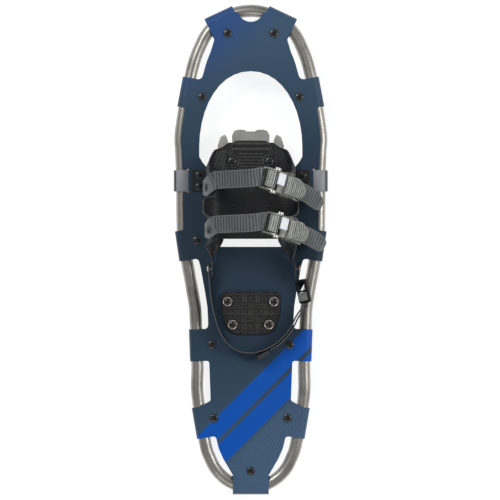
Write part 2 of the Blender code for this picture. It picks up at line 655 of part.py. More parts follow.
def make_toe_crampon():
    """A steel plate under the binding with a lobed front flange and toothed side and rear flanges."""
    half, chamfer = CRAMPON_HALF, (0.015, 0.011)
    corners = [(half, CRAMPON_REAR), (half, CRAMPON_FRONT - chamfer[1]), (half - chamfer[0], CRAMPON_FRONT)]
    outline = corners + mirrored(corners[::-1])
    middle = Matrix.Translation((0, 0, CRAMPON_TOP - CRAMPON_SHEET / 2))
    plate = flat_solid("toe_crampon", [outline], CRAMPON_SHEET, middle)
    root = CRAMPON_BOTTOM + 0.0004
    lobes = [(-0.0235, -0.003), (0.0235, -0.003), (0.0245, 0.017)]
    lobes += [(0.0215, 0.0255), (0.0155, 0.0280), (0.0085, 0.0275)]
    lobes += [(0.0050, 0.0245)]
    lobes += [(-x, y) for x, y in lobes[:1:-1]]
    slope = Vector((0, cos(radians(42)), -sin(radians(42))))
    blades = [blade("front_flange", lobes, (0, CRAMPON_FRONT - 0.0015, root + 0.0005), (1, 0, 0), slope)]
    for side in (1, -1):
        edge = Vector((-chamfer[0] * side, chamfer[1], 0)).normalized()
        out = Vector((chamfer[1] * side, chamfer[0], 0)).normalized()
        corner = Vector((half * side, CRAMPON_FRONT - chamfer[1], root + 0.0005)) - out * 0.0015
        wing = [(0.0005, -0.002), (0.0175, -0.002), (0.0175, 0.0150)]
        wing += [(0.0160, 0.0215), (0.0090, 0.0225), (0.0020, 0.0120)]
        out = Vector((0.25 * side, 0.97, -0.90)).normalized()
        blades.append(blade(f"corner_flange_{side}", wing, corner, edge, out))
        length = CRAMPON_FRONT - 0.018 - CRAMPON_REAR - 0.004
        start = (side * (half - CRAMPON_SHEET / 2), CRAMPON_REAR + 0.002, CRAMPON_BOTTOM)
        teeth = toothed_edge(length, 0.012, CRAMPON_BOTTOM, 3, 0.0020)
        blades.append(blade(f"side_flange_{side}", teeth, start, (0, 1, 0), (0, 0, -1)))
    start = (-half + 0.006, CRAMPON_REAR + CRAMPON_SHEET / 2, CRAMPON_BOTTOM)
    teeth = toothed_edge(2 * half - 0.012, 0.010, CRAMPON_BOTTOM, 2, 0.0020)
    blades.append(blade("rear_flange", teeth, start, (1, 0, 0), (0, 0, -1)))
    for piece in blades:
        boolean(plate, piece, "UNION")
    boolean(plate, bpy.data.objects["binding_holes"], "DIFFERENCE")
    add_part(plate, "steel")


def make_base_plate():
    front = CRAMPON_FRONT + 0.002
    half = CRAMPON_HALF + 0.0005
    corners = [(half, BASE_REAR + 0.006), (half, front - 0.020), (half - 0.015, front)]
    outline = [(half - 0.012, BASE_REAR), *corners]
    outline += mirrored(outline[::-1])
    middle = Matrix.Translation((0, 0, BASE_BOTTOM + BASE_THICKNESS / 2))
    base = flat_solid("base_plate", [outline], BASE_THICKNESS, middle)
    boolean(base, bpy.data.objects["binding_holes"], "DIFFERENCE")
    add_part(base, "black_plastic")


def binding_rivet_places():
    return [
        (f"binding_rivet_{end}_{side}", (x, y))
        for end, y in (("front", BINDING_RIVET_FRONT), ("rear", BINDING_RIVET_REAR))
        for side, x in (("left", -BINDING_RIVET_X), ("right", BINDING_RIVET_X))
    ]


def make_binding_rivets():
    for name, (x, y) in binding_rivet_places():
        top = PAD_TOP if "front" in name else FLOOR_TOP
        rivet(name, (x, y, top), (0, 0, 1), top - CRAMPON_BOTTOM, RIVET_HEAD * 1.02)


def make_toe_pad():
    half, rear, front = TOE_PAD_HALF, TOE_PAD_REAR, TOE_PAD_FRONT
    corners = [(half - 0.003, rear, 0.002), (half, front - 0.016, 0.0), (half - 0.004, front - 0.004, 0.003)]
    corners += [(half - 0.011, front, 0.003)]
    right = corners[:]
    left = [(-x, y, r) for x, y, r in corners[::-1]]
    middle = Matrix.Translation((0, 0, PAD_TOP - TOE_PAD_THICKNESS / 2))
    pad = flat_solid("toe_pad", [rounded(right + left, 2)], TOE_PAD_THICKNESS, middle)
    boolean(pad, bpy.data.objects["binding_holes"], "DIFFERENCE")
    add_part(pad, "pad_rubber")


# ---------------------------------------------------------------- harness


def harness_rows(side):
    """Cross-sections of the harness on one side: y, inner start x and height, bulge, rim x and rim height.

    Each section leaves the floor, bulges outward round the boot and curls back in to its rim."""
    arm = ARM_END_RIGHT if side > 0 else ARM_END_LEFT
    rim, top = WING_RIM_X, WING_RIM_HEIGHT
    return (
        (0.1370, 0.0290, 0.0, 0.0300, 0.0306, 0.0004, 0.0),
        (0.1320, 0.0305, 0.0, 0.0355, 0.0368, 0.0020, 0.0),
        (0.1280, 0.0320, 0.0, 0.0440, 0.0470, 0.0070, 0.0),
        (0.1150, 0.0330, 0.0, 0.0540, 0.0525, 0.0200, 0.2),
        (0.1020, 0.0340, 0.0, 0.0620, 0.0530, 0.0340, 0.6),
        (FRONT_STRAP["anchor_y"] + 0.0125, WING_ROOT, 0.0, FRONT_STRAP["bulge"], rim, top, 1.0),
        (FRONT_STRAP["anchor_y"] - 0.0125, WING_ROOT, 0.0, FRONT_STRAP["bulge"], rim, top, 1.0),
        (0.0640, 0.0350, 0.0, 0.0670, 0.0590, 0.0310, 0.4),
        (0.0560, 0.0350, 0.0, 0.0640, 0.0605, 0.0270, 0.2),
        (0.0470, 0.0350, 0.0, 0.0640, 0.0590, 0.0310, 0.4),
        (REAR_STRAP["anchor_y"] + 0.0125, WING_ROOT, 0.0, REAR_STRAP["bulge"], rim, top, 1.0),
        (REAR_STRAP["anchor_y"] - 0.0115, WING_ROOT, 0.0, REAR_STRAP["bulge"], rim, top, 1.0),
        (0.0040, 0.0390, 0.0015, (0.0610 + arm) / 2 + 0.003, 0.0575, 0.0360, 0.2),
        (-0.0045, 0.0445, 0.0025, (0.0590 + arm) / 2, (0.0560 + arm) / 2, 0.0300, 0.0),
        (-0.0120, (0.0470 + arm) / 2, 0.0020, (0.0520 + arm) / 2, (0.0520 + arm) / 2, 0.0250, 0.0),
        (HEEL_RIVET_Y + 0.0075, arm, 0.0015, arm, arm, 0.0205, 0.0),
        (HEEL_RIVET_Y - 0.0040, arm, 0.0020, arm, arm, 0.0200, 0.0),
        (HEEL_RIVET_Y - 0.0110, arm, 0.0060, arm, arm, 0.0160, 0.0),
    )


def section_points(row, side, steps):
    """A cubic curve from the floor's edge out round the bulge to the rim."""
    y, x0, h0, bulge, rim, top, curl = row
    ends = [Vector((x0, h0)), Vector((x0 + 0.85 * (bulge - x0), h0))]
    ends += [Vector((rim, top)) + 0.020 * curl * Vector((cos(WING_SLOPE), -sin(WING_SLOPE)))]
    if not curl:
        ends[2] = Vector((bulge, (h0 + top) / 2))
    ends += [Vector((rim, top))]
    points = []
    for t in np.linspace(0.0, 1.0, steps + 1):
        a, b, c, d = (1 - t) ** 3, 3 * t * (1 - t) ** 2, 3 * t * t * (1 - t), t**3
        p = ends[0] * a + ends[1] * b + ends[2] * c + ends[3] * d
        points.append((p.x * side, y, FLOOR_TOP + p.y))
    return points


def make_harness():
    """One moulded shell: a floor, two wings each side and two arms that reach back to the heel strap."""
    bm = bmesh.new()
    steps, floor_rows = 8, 11
    for side in (1, -1):
        grid = []
        for k, row in enumerate(harness_rows(side)):
            points = section_points(row, side, steps)
            if k < floor_rows:
                points = [(0.0, row[0], FLOOR_TOP), (row[1] * 0.5 * side, row[0], FLOOR_TOP)] + points
            grid.append([bm.verts.new(p) for p in points])
        for k, (lower, upper) in enumerate(zip(grid, grid[1:])):
            if k == floor_rows - 1:
                lower = lower[2:]
            for a, b, c, d in zip(lower, lower[1:], upper[1:], upper):
                bm.faces.new((a, b, c, d) if side < 0 else (d, c, b, a))
    bmesh.ops.remove_doubles(bm, verts=bm.verts, dist=1e-6)
    harness = mesh_object("harness", bm)
    solidify(harness, HARNESS_THICKNESS, -1.0)
    boolean(harness, bpy.data.objects["binding_holes"], "DIFFERENCE")
    holes = [(place, axis, 0.014) for _, place, axis in strap_rivets()]
    holes += [((x, HEEL_RIVET_Y, heel_axis_z()), (1, 0, 0), 0.012) for x in (-ARM_END_LEFT, ARM_END_RIGHT)]
    boolean(harness, drill("harness_holes", holes, RIVET_HOLE), "DIFFERENCE")
    add_part(harness, "harness_grey")


def wing_place(strap, side, reach, lift):
    """A point on a strap wing, down from the rim and lifted off its inner face, and its outward normal."""
    row = (0.0, WING_ROOT, 0.0, strap["bulge"], WING_RIM_X, WING_RIM_HEIGHT, 1.0)
    curve = np.array([(x, z) for x, _, z in section_points(row, 1, 60)])[::-1]
    reaches = np.concatenate([[0.0], np.cumsum(np.linalg.norm(np.diff(curve, axis=0), axis=1))])
    k = int(np.clip(np.searchsorted(reaches, reach), 1, 59))
    down = Vector(curve[k] - curve[k - 1]).normalized()
    normal = Vector((-down.y, down.x))
    place = Vector(curve[k - 1]) + down * (reach - reaches[k - 1]) + normal * lift
    return Vector((place.x * side, 0.0, place.y)), Vector((normal.x * side, 0.0, normal.y))


def buckle_rivet_along(strap):
    """How far from the buckle's middle its rivet is, to pass through the wing just inside its rim."""
    past_rim = (strap["buckle_x"] - wing_place(strap, 1, 0.0, HARNESS_THICKNESS + GAP)[0].x) / cos(WING_SLOPE)
    return (BUCKLE_RIVET_REACH - past_rim) / cos(strap["buckle_turn"])


def strap_rivets():
    """Each ladder strap's anchor rivet and each buckle's rivet: name, place on the wing and axis."""
    found = []
    for strap in (FRONT_STRAP, REAR_STRAP):
        place, axis = wing_place(strap, -1, strap["anchor_reach"], 0.0)
        found.append((f"{strap['name']}_strap_rivet", place + Vector((0, strap["anchor_y"], 0)), axis))
        frame = buckle_frame(strap)
        axis = frame.to_3x3() @ Vector((0, 0, 1))
        place = frame @ Vector((buckle_rivet_along(strap), 0, -0.0020))
        found.append((f"{strap['name']}_buckle_rivet", place, axis))
    return found


# ---------------------------------------------------------------- ladder straps and buckles


def buckle_frame(strap):
    """Axes of a buckle lying on its wing: X towards the lever's end, Y across, Z off the boot."""
    slope, turn = WING_SLOPE, strap["buckle_turn"]
    normal = Vector((sin(slope), 0.0, cos(slope)))
    down = Vector((cos(slope), 0.0, -sin(slope)))
    along = down * cos(turn) - Vector((0.0, sin(turn), 0.0))
    rim = wing_place(strap, 1, 0.0, HARNESS_THICKNESS + GAP)[0]
    drop = (strap["buckle_x"] - rim.x) * sin(slope) / cos(slope)
    place = Vector((strap["buckle_x"], strap["buckle_y"], rim.z - drop))
    return Matrix.Translation(place) @ Matrix((along, normal.cross(along), normal)).transposed().to_4x4()


def side_profile(frame):
    """Turns a flat outline so that its X runs along the buckle and its Y off the boot."""
    return frame @ Matrix.Rotation(pi / 2, 4, "X")


LEVER_PIN = (0.0030, 0.0084)
RELEASE_PIN = (-0.0160, 0.0084)


def make_buckle(strap):
    """A channel-shaped base with a fixed cover, a ratchet lever and a release lever on two pins."""
    name, frame = strap["name"], buckle_frame(strap)
    half = BUCKLE_LENGTH / 2
    width = BUCKLE_INNER + 2 * BUCKLE_CHEEK
    cheek = [(-half, 0.0), (half - 0.003, 0.0), (half, 0.0020), (0.0200, 0.0080), (0.0080, 0.0108)]
    cheek += [(-0.0150, 0.0108), (-0.0240, 0.0094), (-half, 0.0050)]
    base = flat_solid(f"{name}_buckle_base", [cheek], width, side_profile(frame))
    past, high = half + 0.004, 0.02
    channel = [(-past, BUCKLE_FLOOR), (past, BUCKLE_FLOOR), (past, high), (-past, high)]
    cutter = flat_solid(f"{name}_channel", [channel], BUCKLE_INNER, side_profile(frame))
    boolean(base, add_cutter(cutter), "DIFFERENCE")
    cover = [(-0.0105, 0.0082), (-0.0015, 0.0082), (-0.0015, 0.0114), (-0.0105, 0.0114)]
    cover_width = BUCKLE_INNER + BUCKLE_CHEEK
    boolean(base, add_cutter(flat_solid(f"{name}_cover", [cover], cover_width, side_profile(frame))), "UNION")
    across = frame.to_3x3() @ Vector((0, 1, 0))
    pins = [frame @ Vector((u, 0.0, w)) for u, w in (LEVER_PIN, RELEASE_PIN)]
    holes = drill(f"{name}_pin_holes", [(p, across, width + 0.01) for p in pins], BUCKLE_PIN_RADIUS + GAP)
    boolean(base, holes, "DIFFERENCE")
    place = frame @ Vector((buckle_rivet_along(strap), 0, 0))
    axis = frame.to_3x3() @ Vector((0, 0, 1))
    rivet_hole = drill(f"{name}_base_hole", [(place, axis, 0.006)], RIVET_HOLE)
    boolean(base, rivet_hole, "DIFFERENCE")
    add_part(base, "buckle_clear")

    boss = BUCKLE_PIN_RADIUS + 0.0012
    lever = arc(LEVER_PIN, boss, pi / 2, 3 * pi / 2, 6)
    lever += [(0.0080, 0.0064), (0.0180, 0.0078), (0.0300, 0.0064), (0.0345, 0.0062), (0.0350, 0.0074)]
    lever += [(0.0310, 0.0110), (0.0200, 0.0134), (0.0080, 0.0126)]
    release = arc(RELEASE_PIN, boss, -pi / 2, pi / 2, 6)
    release += [(-0.0200, 0.0126), (-0.0290, 0.0124), (-0.0310, 0.0100), (-0.0305, 0.0064), (-0.0200, 0.0059)]
    inner = BUCKLE_INNER - 4 * GAP
    for part, outline, place in (("lever", lever, pins[0]), ("release", release, pins[1])):
        obj = flat_solid(f"{name}_buckle_{part}", [outline], inner, side_profile(frame))
        obj.data.transform(Matrix.Translation(-place))
        obj.location = place
        boolean(obj, holes, "DIFFERENCE")
        add_part(obj, "buckle_clear")
    for part, place in (("lever_pin", pins[0]), ("release_pin", pins[1])):
        ends = [place - across * (width / 2 + 0.0006), place + across * (width / 2 + 0.0006)]
        add_part(rod(f"{name}_{part}", ends, BUCKLE_PIN_RADIUS, 8), "steel")


def lerp(a, b, t):
    return Vector(a) * (1 - t) + Vector(b) * t


def make_ladder_strap(strap):
    """A toothed strap from its anchor wing, over the boot, through its buckle to a free tip."""
    frame = buckle_frame(strap)
    lift = HARNESS_THICKNESS + GAP + LADDER_THICKNESS / 2
    level = BUCKLE_FLOOR + 3 * GAP + LADDER_THICKNESS / 2
    points = []
    anchor = strap["anchor_reach"]
    for reach in (anchor + 0.0085, anchor, anchor / 2, 0.0, -0.008):
        place = wing_place(strap, -1, reach, lift + 2 * GAP)[0]
        forward = (anchor - min(max(reach, -0.002), anchor)) * strap["rise"]
        points.append((place.x, strap["anchor_y"] + forward, place.z))
    points.append((0.0, strap["crown_y"], DECK_Z + LADDER_ARCH + 0.001))
    through = (-0.033, -0.026, -0.015, 0.0, 0.024, 0.032, 0.038)
    points += [tuple(frame @ Vector((u, 0.0, level))) for u in through]
    tip = Vector(strap["tip"]) + Vector((0, 0, DECK_Z))
    points += [tuple(lerp(points[-1], tip, 0.5) + Vector((0, 0.001, 0.0005))), tuple(tip)]
    path = smooth_path(points, 46)
    widths = [LADDER_WIDTH * min(1.0, 0.55 + 0.15 * k) for k in range(len(path))][::-1]
    sides = []
    for k in range(len(path)):
        along = Vector(path[min(k + 1, len(path) - 1)] - path[max(k - 1, 0)])
        sides.append(Vector((-along.z, 0.0, along.x)).cross(along).normalized())
    rows = [(Vector(p) - s * w / 2, Vector(p) + s * w / 2) for p, s, w in zip(path, sides, widths)]
    band = sheet(f"{strap['name']}_ladder_strap", rows, LADDER_THICKNESS)
    band.modifiers["Solidify"].offset = 0.0
    boolean(band, bpy.data.objects["strap_rivet_holes"], "DIFFERENCE")
    add_part(band, "ladder_grey")


def make_strap_rivets():
    for name, place, axis in strap_rivets():
        if "buckle" in name:
            place = place + axis * (0.0020 + BUCKLE_FLOOR)
            rivet(name, place, axis, BUCKLE_FLOOR + HARNESS_THICKNESS + 7 * GAP, 0.0040, 2 * GAP, foot=1.5)
        else:
            lift = HARNESS_THICKNESS + LADDER_THICKNESS + 4 * GAP
            rivet(name, place + axis * lift, axis, lift + 0.0006, RIVET_HEAD * 0.9, foot=1.6)


# ---------------------------------------------------------------- heel


def make_heel_pad():
    front, rear = HEEL_PAD_Y + HEEL_PAD_LENGTH / 2, HEEL_PAD_Y - HEEL_PAD_LENGTH / 2
    right = [(HEEL_PAD_FRONT_HALF - 0.005, front, 0.003), (HEEL_PAD_FRONT_HALF + 0.001, front - 0.007, 0.004)]
    right += [(HEEL_PAD_FRONT_HALF, front - 0.026, 0.0), (HEEL_PAD_REAR_HALF, rear + 0.014, 0.004)]
    right += [(HEEL_PAD_REAR_HALF - 0.006, rear + 0.004, 0.004), (HEEL_PAD_REAR_HALF * 0.45, rear, 0.0)]
    outline = rounded(right + [(-x, y, r) for x, y, r in right[::-1]], 2)
    middle = Matrix.Translation((0, 0, DECK_Z + GAP + HEEL_PAD_THICKNESS / 2))
    pad = flat_solid("heel_pad", [outline], HEEL_PAD_THICKNESS, middle)
    holes = [((x * side, y, DECK_Z), (0, 0, 1), 0.020) for x, y in HEEL_RIVETS for side in (1, -1)]
    cutter = drill("heel_holes", holes, RIVET_HOLE)
    boolean(pad, cutter, "DIFFERENCE")
    half, reach = HEEL_TREAD
    tread = [(half, reach), (-half, reach), (-half, -reach), (half, -reach)]
    middle = Matrix.Translation((0, HEEL_PAD_Y, DECK_Z + GAP + HEEL_PAD_THICKNESS))
    boolean(pad, add_cutter(flat_solid("heel_tread", [tread], 2 * HEEL_TREAD_HEIGHT, middle)), "UNION")
    add_part(pad, "pad_rubber")

    top = DECK_Z - DECK_THICKNESS - GAP
    bottom = top - CRAMPON_SHEET
    half, length = HEEL_RIVETS[0][0] + 0.009, HEEL_RIVETS[0][1] - HEEL_RIVETS[1][1] + 0.016
    start = HEEL_RIVETS[1][1] - 0.008
    square = [(half, start), (half, start + length), (-half, start + length), (-half, start)]
    place = Matrix.Translation((0, 0, top - CRAMPON_SHEET / 2))
    plate = flat_solid("heel_crampon", [square], CRAMPON_SHEET, place)
    for side in (1, -1):
        place = (side * (half - CRAMPON_SHEET / 2), start + 0.002, bottom)
        outline = toothed_edge(length - 0.004, 0.010, bottom, 2, 0.0020)
        boolean(plate, blade(f"heel_side_{side}", outline, place, (0, 1, 0), (0, 0, -1)), "UNION")
    outline = toothed_edge(2 * half - 0.012, 0.009, bottom, 2, 0.0020)
    place = (-half + 0.006, start + CRAMPON_SHEET / 2, bottom)
    boolean(plate, blade("heel_cross", outline, place, (1, 0, 0), (0, 0, -1)), "UNION")
    boolean(plate, cutter, "DIFFERENCE")
    add_part(plate, "steel")

    place_z = DECK_Z + GAP + HEEL_PAD_THICKNESS
    drop = place_z - bottom
    for end, (x, y) in zip(("front", "rear"), HEEL_RIVETS):
        for side, sign in (("left", -1), ("right", 1)):
            rivet(f"heel_pad_rivet_{end}_{side}", (x * sign, y, place_z), (0, 0, 1), drop, RIVET_HEAD * 0.85)


def heel_axis_z():
    return DECK_Z + WEBBING_CLEARANCE + WEBBING_WIDTH / 2 + 0.0015


def strap_offset(arm):
    return arm + HARNESS_THICKNESS + GAP + WEBBING_THICKNESS / 2


# The strap's way round the heel, from the left arm to the buckle
HEEL_ROUTE = (
    (-0.0507, -0.0650), (-0.0442, -0.0935), (-0.0352, -0.1140), (-0.0220, -0.1270), (-0.0068, -0.1325),
    (0.0099, -0.1312), (0.0260, -0.1245), (0.0383, -0.1157), (0.0500, -0.1020), (0.0595, -0.0840),
)
STRAP_LAYER_STEP = 0.0032
BUCKLE_RING_LENGTH = 0.031
BUCKLE_RING_WIDTH = 0.022
BUCKLE_RING_THICKNESS = 0.0030
BUCKLE_RING_START = (0.0640, -0.0385)
BUCKLE_RING_END = (0.0705, -0.0685)
HEEL_TAB_LENGTH = 0.016
HEEL_END = 0.0075  # strap in front of its rivet, tapered so that it clears the deck as it swings
HEEL_END_WIDTH = 0.0134


def heel_strap_path():
    """The inner layer from the left arm to the buckle, and the outer layer back to the tab."""
    left = -strap_offset(ARM_END_LEFT)
    start, end = Vector(BUCKLE_RING_START), Vector(BUCKLE_RING_END)
    end += (end - start).normalized() * 0.0026
    points = [(left, HEEL_RIVET_Y + HEEL_END), (left, HEEL_RIVET_Y), (left, HEEL_RIVET_Y - 0.0110), *HEEL_ROUTE]
    points += [tuple(end + Vector((-0.0016, 0.0)))]
    inner = smooth_path(points, 58)
    tangent = np.gradient(inner, axis=0)
    tangent /= np.linalg.norm(tangent, axis=1)[:, None]
    outside = np.stack([tangent[:, 1], -tangent[:, 0]], axis=1)
    outer = (inner + outside * STRAP_LAYER_STEP)[::-1]
    middle, radius = (inner[-1] + outer[0]) / 2, STRAP_LAYER_STEP / 2
    ahead, aside = tangent[-1], outside[-1]
    turn = [middle - aside * radius * cos(a) + ahead * radius * sin(a) for a in np.linspace(0, pi, 7)[1:-1]]
    stop = int(np.argmax(outer[:, 0] < 0.0245))
    return inner, np.vstack([inner, turn, outer[:stop]]), outer, outside[::-1], stop


def make_heel_strap():
    inner, path, outer, outside, stop = heel_strap_path()
    middle = DECK_Z + WEBBING_CLEARANCE + WEBBING_WIDTH / 2
    centres = [(x, y, middle) for x, y in path]
    sides = [(0, 0, HEEL_END_WIDTH / WEBBING_WIDTH)] + [(0, 0, 1)] * (len(centres) - 1)
    strap = ribbon("heel_strap", centres, sides, WEBBING_WIDTH, WEBBING_THICKNESS)
    boolean(strap, bpy.data.objects["heel_axis_holes"], "DIFFERENCE")
    add_part(strap, "webbing")
    place, along = outer[stop], outer[stop + 1] - outer[stop]
    along = Vector((*along, 0.0)).normalized()
    out = Vector((*outside[stop], 0.0))
    start = Vector((*place, middle)) + along * 0.0012
    half = WEBBING_THICKNESS / 2
    fold = [(0.0, -half), (HEEL_TAB_LENGTH, -half + 0.0004), (HEEL_TAB_LENGTH + 0.002, 0.0012)]
    fold += [(HEEL_TAB_LENGTH, 0.0050), (0.001, 0.0046), (0.0, 0.0030)]
    matrix = Matrix.Translation(start) @ Matrix((along, out, along.cross(out))).transposed().to_4x4()
    add_part(flat_solid("heel_strap_tab", [fold], WEBBING_WIDTH - 0.001, matrix), "webbing")


def heel_buckle_frame():
    """Axes of the heel buckle: X along it to the rear, Y across, Z out of its face."""
    start, end = Vector((*BUCKLE_RING_START, 0)), Vector((*BUCKLE_RING_END, 0))
    along = (end - start).normalized()
    lateral = Vector((-along.y, along.x, 0))
    across = lateral * cos(HEEL_BUCKLE_ROLL) + Vector((0, 0, 1)) * sin(HEEL_BUCKLE_ROLL)
    start.z = DECK_Z + WEBBING_CLEARANCE + WEBBING_WIDTH / 2 + 0.0010
    return Matrix.Translation(start) @ Matrix((along, across, along.cross(across))).transposed().to_4x4()


CAM_PIN = (0.0188, 0.0004)


def make_heel_buckle():
    """A tongue riveted to the right arm, carrying a ring with a window and a hinged cam."""
    frame = heel_buckle_frame()
    length, half = BUCKLE_RING_LENGTH, BUCKLE_RING_WIDTH / 2
    ring = rounded([(0, -half, 0.003), (length, -half, 0.003), (length, half, 0.003), (0, half, 0.003)], 2)
    window = [(0.0040, -0.0068), (0.0140, -0.0068), (0.0140, 0.0068), (0.0040, 0.0068)]
    seat = [(0.0165, -0.0084), (0.0280, -0.0084), (0.0280, 0.0084), (0.0165, 0.0084)]
    body = flat_solid("heel_buckle_frame", [ring, window, seat], BUCKLE_RING_THICKNESS, frame)
    x = ARM_END_RIGHT + HARNESS_THICKNESS + GAP
    thickness = 0.0022
    z = heel_axis_z()
    tongue = [(HEEL_RIVET_Y - 0.0165, -0.0070), (HEEL_RIVET_Y + 0.003, -0.0075), (HEEL_RIVET_Y + 0.0080, 0.0)]
    tongue += [(HEEL_RIVET_Y + 0.003, 0.0070), (HEEL_RIVET_Y - 0.0165, 0.0065)]
    sideways = Matrix(((0, 0, 1, x + thickness / 2), (1, 0, 0, 0), (0, 1, 0, z), (0, 0, 0, 1)))
    boolean(body, add_cutter(flat_solid("heel_tongue", [tongue], thickness, sideways)), "UNION")
    boolean(body, bpy.data.objects["heel_axis_holes"], "DIFFERENCE")
    add_part(body, "black_plastic")

    cam = arc(CAM_PIN, 0.0019, pi / 2, 3 * pi / 2, 5)
    cam += [(0.0272, -0.0012), (0.0274, 0.0030), (0.0240, 0.0046)]
    place = frame @ Vector((CAM_PIN[0], 0.0, CAM_PIN[1]))
    obj = flat_solid("heel_buckle_cam", [cam], 0.0162, side_profile(frame))
    obj.data.transform(Matrix.Translation(-place))
    obj.location = place
    add_part(obj, "cam_grey")


def make_heel_rivets():
    z = heel_axis_z()
    left = ARM_END_LEFT + HARNESS_THICKNESS + GAP + WEBBING_THICKNESS
    rivet("heel_rivet_left", (-left, HEEL_RIVET_Y, z), (-1, 0, 0), left - ARM_END_LEFT, 0.0048)
    right = ARM_END_RIGHT + HARNESS_THICKNESS + GAP + 0.0022
    rivet("heel_rivet_right", (right, HEEL_RIVET_Y, z), (1, 0, 0), right - ARM_END_RIGHT, 0.0048)


# ---------------------------------------------------------------- assembly


def main():
    global PARTS, CUTTERS
    clear_scene()
    PARTS, CUTTERS = new_collection("snowshoe"), new_collection("cutters")
    make_materials()
    through = [((x, y, FLOOR_TOP), (0, 0, 1), 0.040) for _, (x, y) in binding_rivet_places()]
    drill("binding_holes", through, RIVET_HOLE)
    anchors = [(place, axis, 0.020) for name, place, axis in strap_rivets() if "strap" in name]
    drill("strap_rivet_holes", anchors, RIVET_HOLE)
    ends = [((x, HEEL_RIVET_Y, heel_axis_z()), (1, 0, 0), 0.016) for x in (-ARM_END_LEFT, ARM_END_RIGHT)]
    drill("heel_axis_holes", ends, RIVET_HOLE)
    make_frame()
    make_deck()
    make_deck_rivets()
    make_pivot_strap()
    make_toe_crampon()
    make_base_plate()
    make_toe_pad()
    make_harness()
    make_binding_rivets()
    for strap in (FRONT_STRAP, REAR_STRAP):
        make_buckle(strap)
        make_ladder_strap(strap)
    make_strap_rivets()
    make_heel_pad()
    make_heel_strap()
    make_heel_buckle()
    make_heel_rivets()


main()
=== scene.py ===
import json
from math import cos, pi, radians, sin

import bmesh
import bpy
import numpy as np
from mathutils import Matrix, Vector

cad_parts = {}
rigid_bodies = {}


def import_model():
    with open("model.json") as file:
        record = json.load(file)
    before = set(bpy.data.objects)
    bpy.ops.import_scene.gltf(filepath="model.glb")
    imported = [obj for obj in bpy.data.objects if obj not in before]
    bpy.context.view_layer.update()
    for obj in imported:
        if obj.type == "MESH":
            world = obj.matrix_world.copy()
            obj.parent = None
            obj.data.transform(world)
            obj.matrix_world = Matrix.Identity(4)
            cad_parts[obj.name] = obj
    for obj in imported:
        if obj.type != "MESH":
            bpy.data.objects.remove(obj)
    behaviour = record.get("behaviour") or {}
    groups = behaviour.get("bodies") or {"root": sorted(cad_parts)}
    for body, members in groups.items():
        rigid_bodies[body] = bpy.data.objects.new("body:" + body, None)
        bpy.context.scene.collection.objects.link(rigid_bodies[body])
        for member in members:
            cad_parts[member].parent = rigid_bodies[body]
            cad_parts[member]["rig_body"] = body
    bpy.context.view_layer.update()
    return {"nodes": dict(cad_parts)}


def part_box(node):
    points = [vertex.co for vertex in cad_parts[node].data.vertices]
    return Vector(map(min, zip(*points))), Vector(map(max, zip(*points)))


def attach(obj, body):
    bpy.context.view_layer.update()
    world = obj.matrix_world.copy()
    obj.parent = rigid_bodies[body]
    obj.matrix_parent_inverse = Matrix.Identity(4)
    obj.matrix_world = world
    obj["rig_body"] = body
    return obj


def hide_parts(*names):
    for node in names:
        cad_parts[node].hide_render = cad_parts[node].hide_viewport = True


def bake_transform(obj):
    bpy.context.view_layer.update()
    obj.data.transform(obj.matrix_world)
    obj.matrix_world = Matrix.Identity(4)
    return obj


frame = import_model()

# Sizes that several pieces share, in metres
shoe = {
    "halfLength": 0.3088, "halfWidth": 0.0908, "deckTop": 0.0400, "deckSheet": 0.0012, "gap": 0.0003,
    "tubeRadius": 0.00794, "tubeWall": 0.00125, "toeRadius": 0.0690, "tailRadius": 0.0555,
}
shoe["tubeHeight"] = shoe["deckTop"] - shoe["deckSheet"] - shoe["gap"] - shoe["tubeRadius"]
shoe["tailY"] = shoe["deckSheet"] + 1.5 * shoe["gap"] - shoe["halfLength"]
shoe["strapTop"] = shoe["deckTop"] - shoe["deckSheet"] - shoe["gap"]


# Shader maths

class Wire:  # an output socket; each operator adds the Math node that it names
    def __init__(self, finish, socket):
        self.finish, self.socket = finish, socket

    def maths(self, operation, *values):
        return self.finish.node("ShaderNodeMath", {"operation": operation}, dict(enumerate(values)))

    def __neg__(self): return self.maths("MULTIPLY", self, -1.0)
    def __abs__(self): return self.maths("ABSOLUTE", self)

    def above(self, edge, soft=0.0002):  # 0 below the edge and 1 above it, over a soft width
        values = {"Value": self, "From Min": edge - soft, "From Max": edge + soft}
        return self.finish.node("ShaderNodeMapRange", {"interpolation_type": "SMOOTHSTEP"}, values)

    def between(self, low, high, soft=0.0002):
        return self.above(low, soft) * (1 - self.above(high, soft))

    def wave(self, pitch):  # a cosine of that pitch, from 0 to 1
        return self.maths("COSINE", self * (2 * pi / pitch)) * 0.5 + 0.5


def addOperator(word, operation):  # the operator and its reflected form
    setattr(Wire, f"__{word}__", lambda self, other: self.maths(operation, self, other))
    setattr(Wire, f"__r{word}__", lambda self, other: self.maths(operation, other, self))


for word, operation in (("add", "ADD"), ("sub", "SUBTRACT"), ("mul", "MULTIPLY"), ("pow", "POWER")):
    addOperator(word, operation)


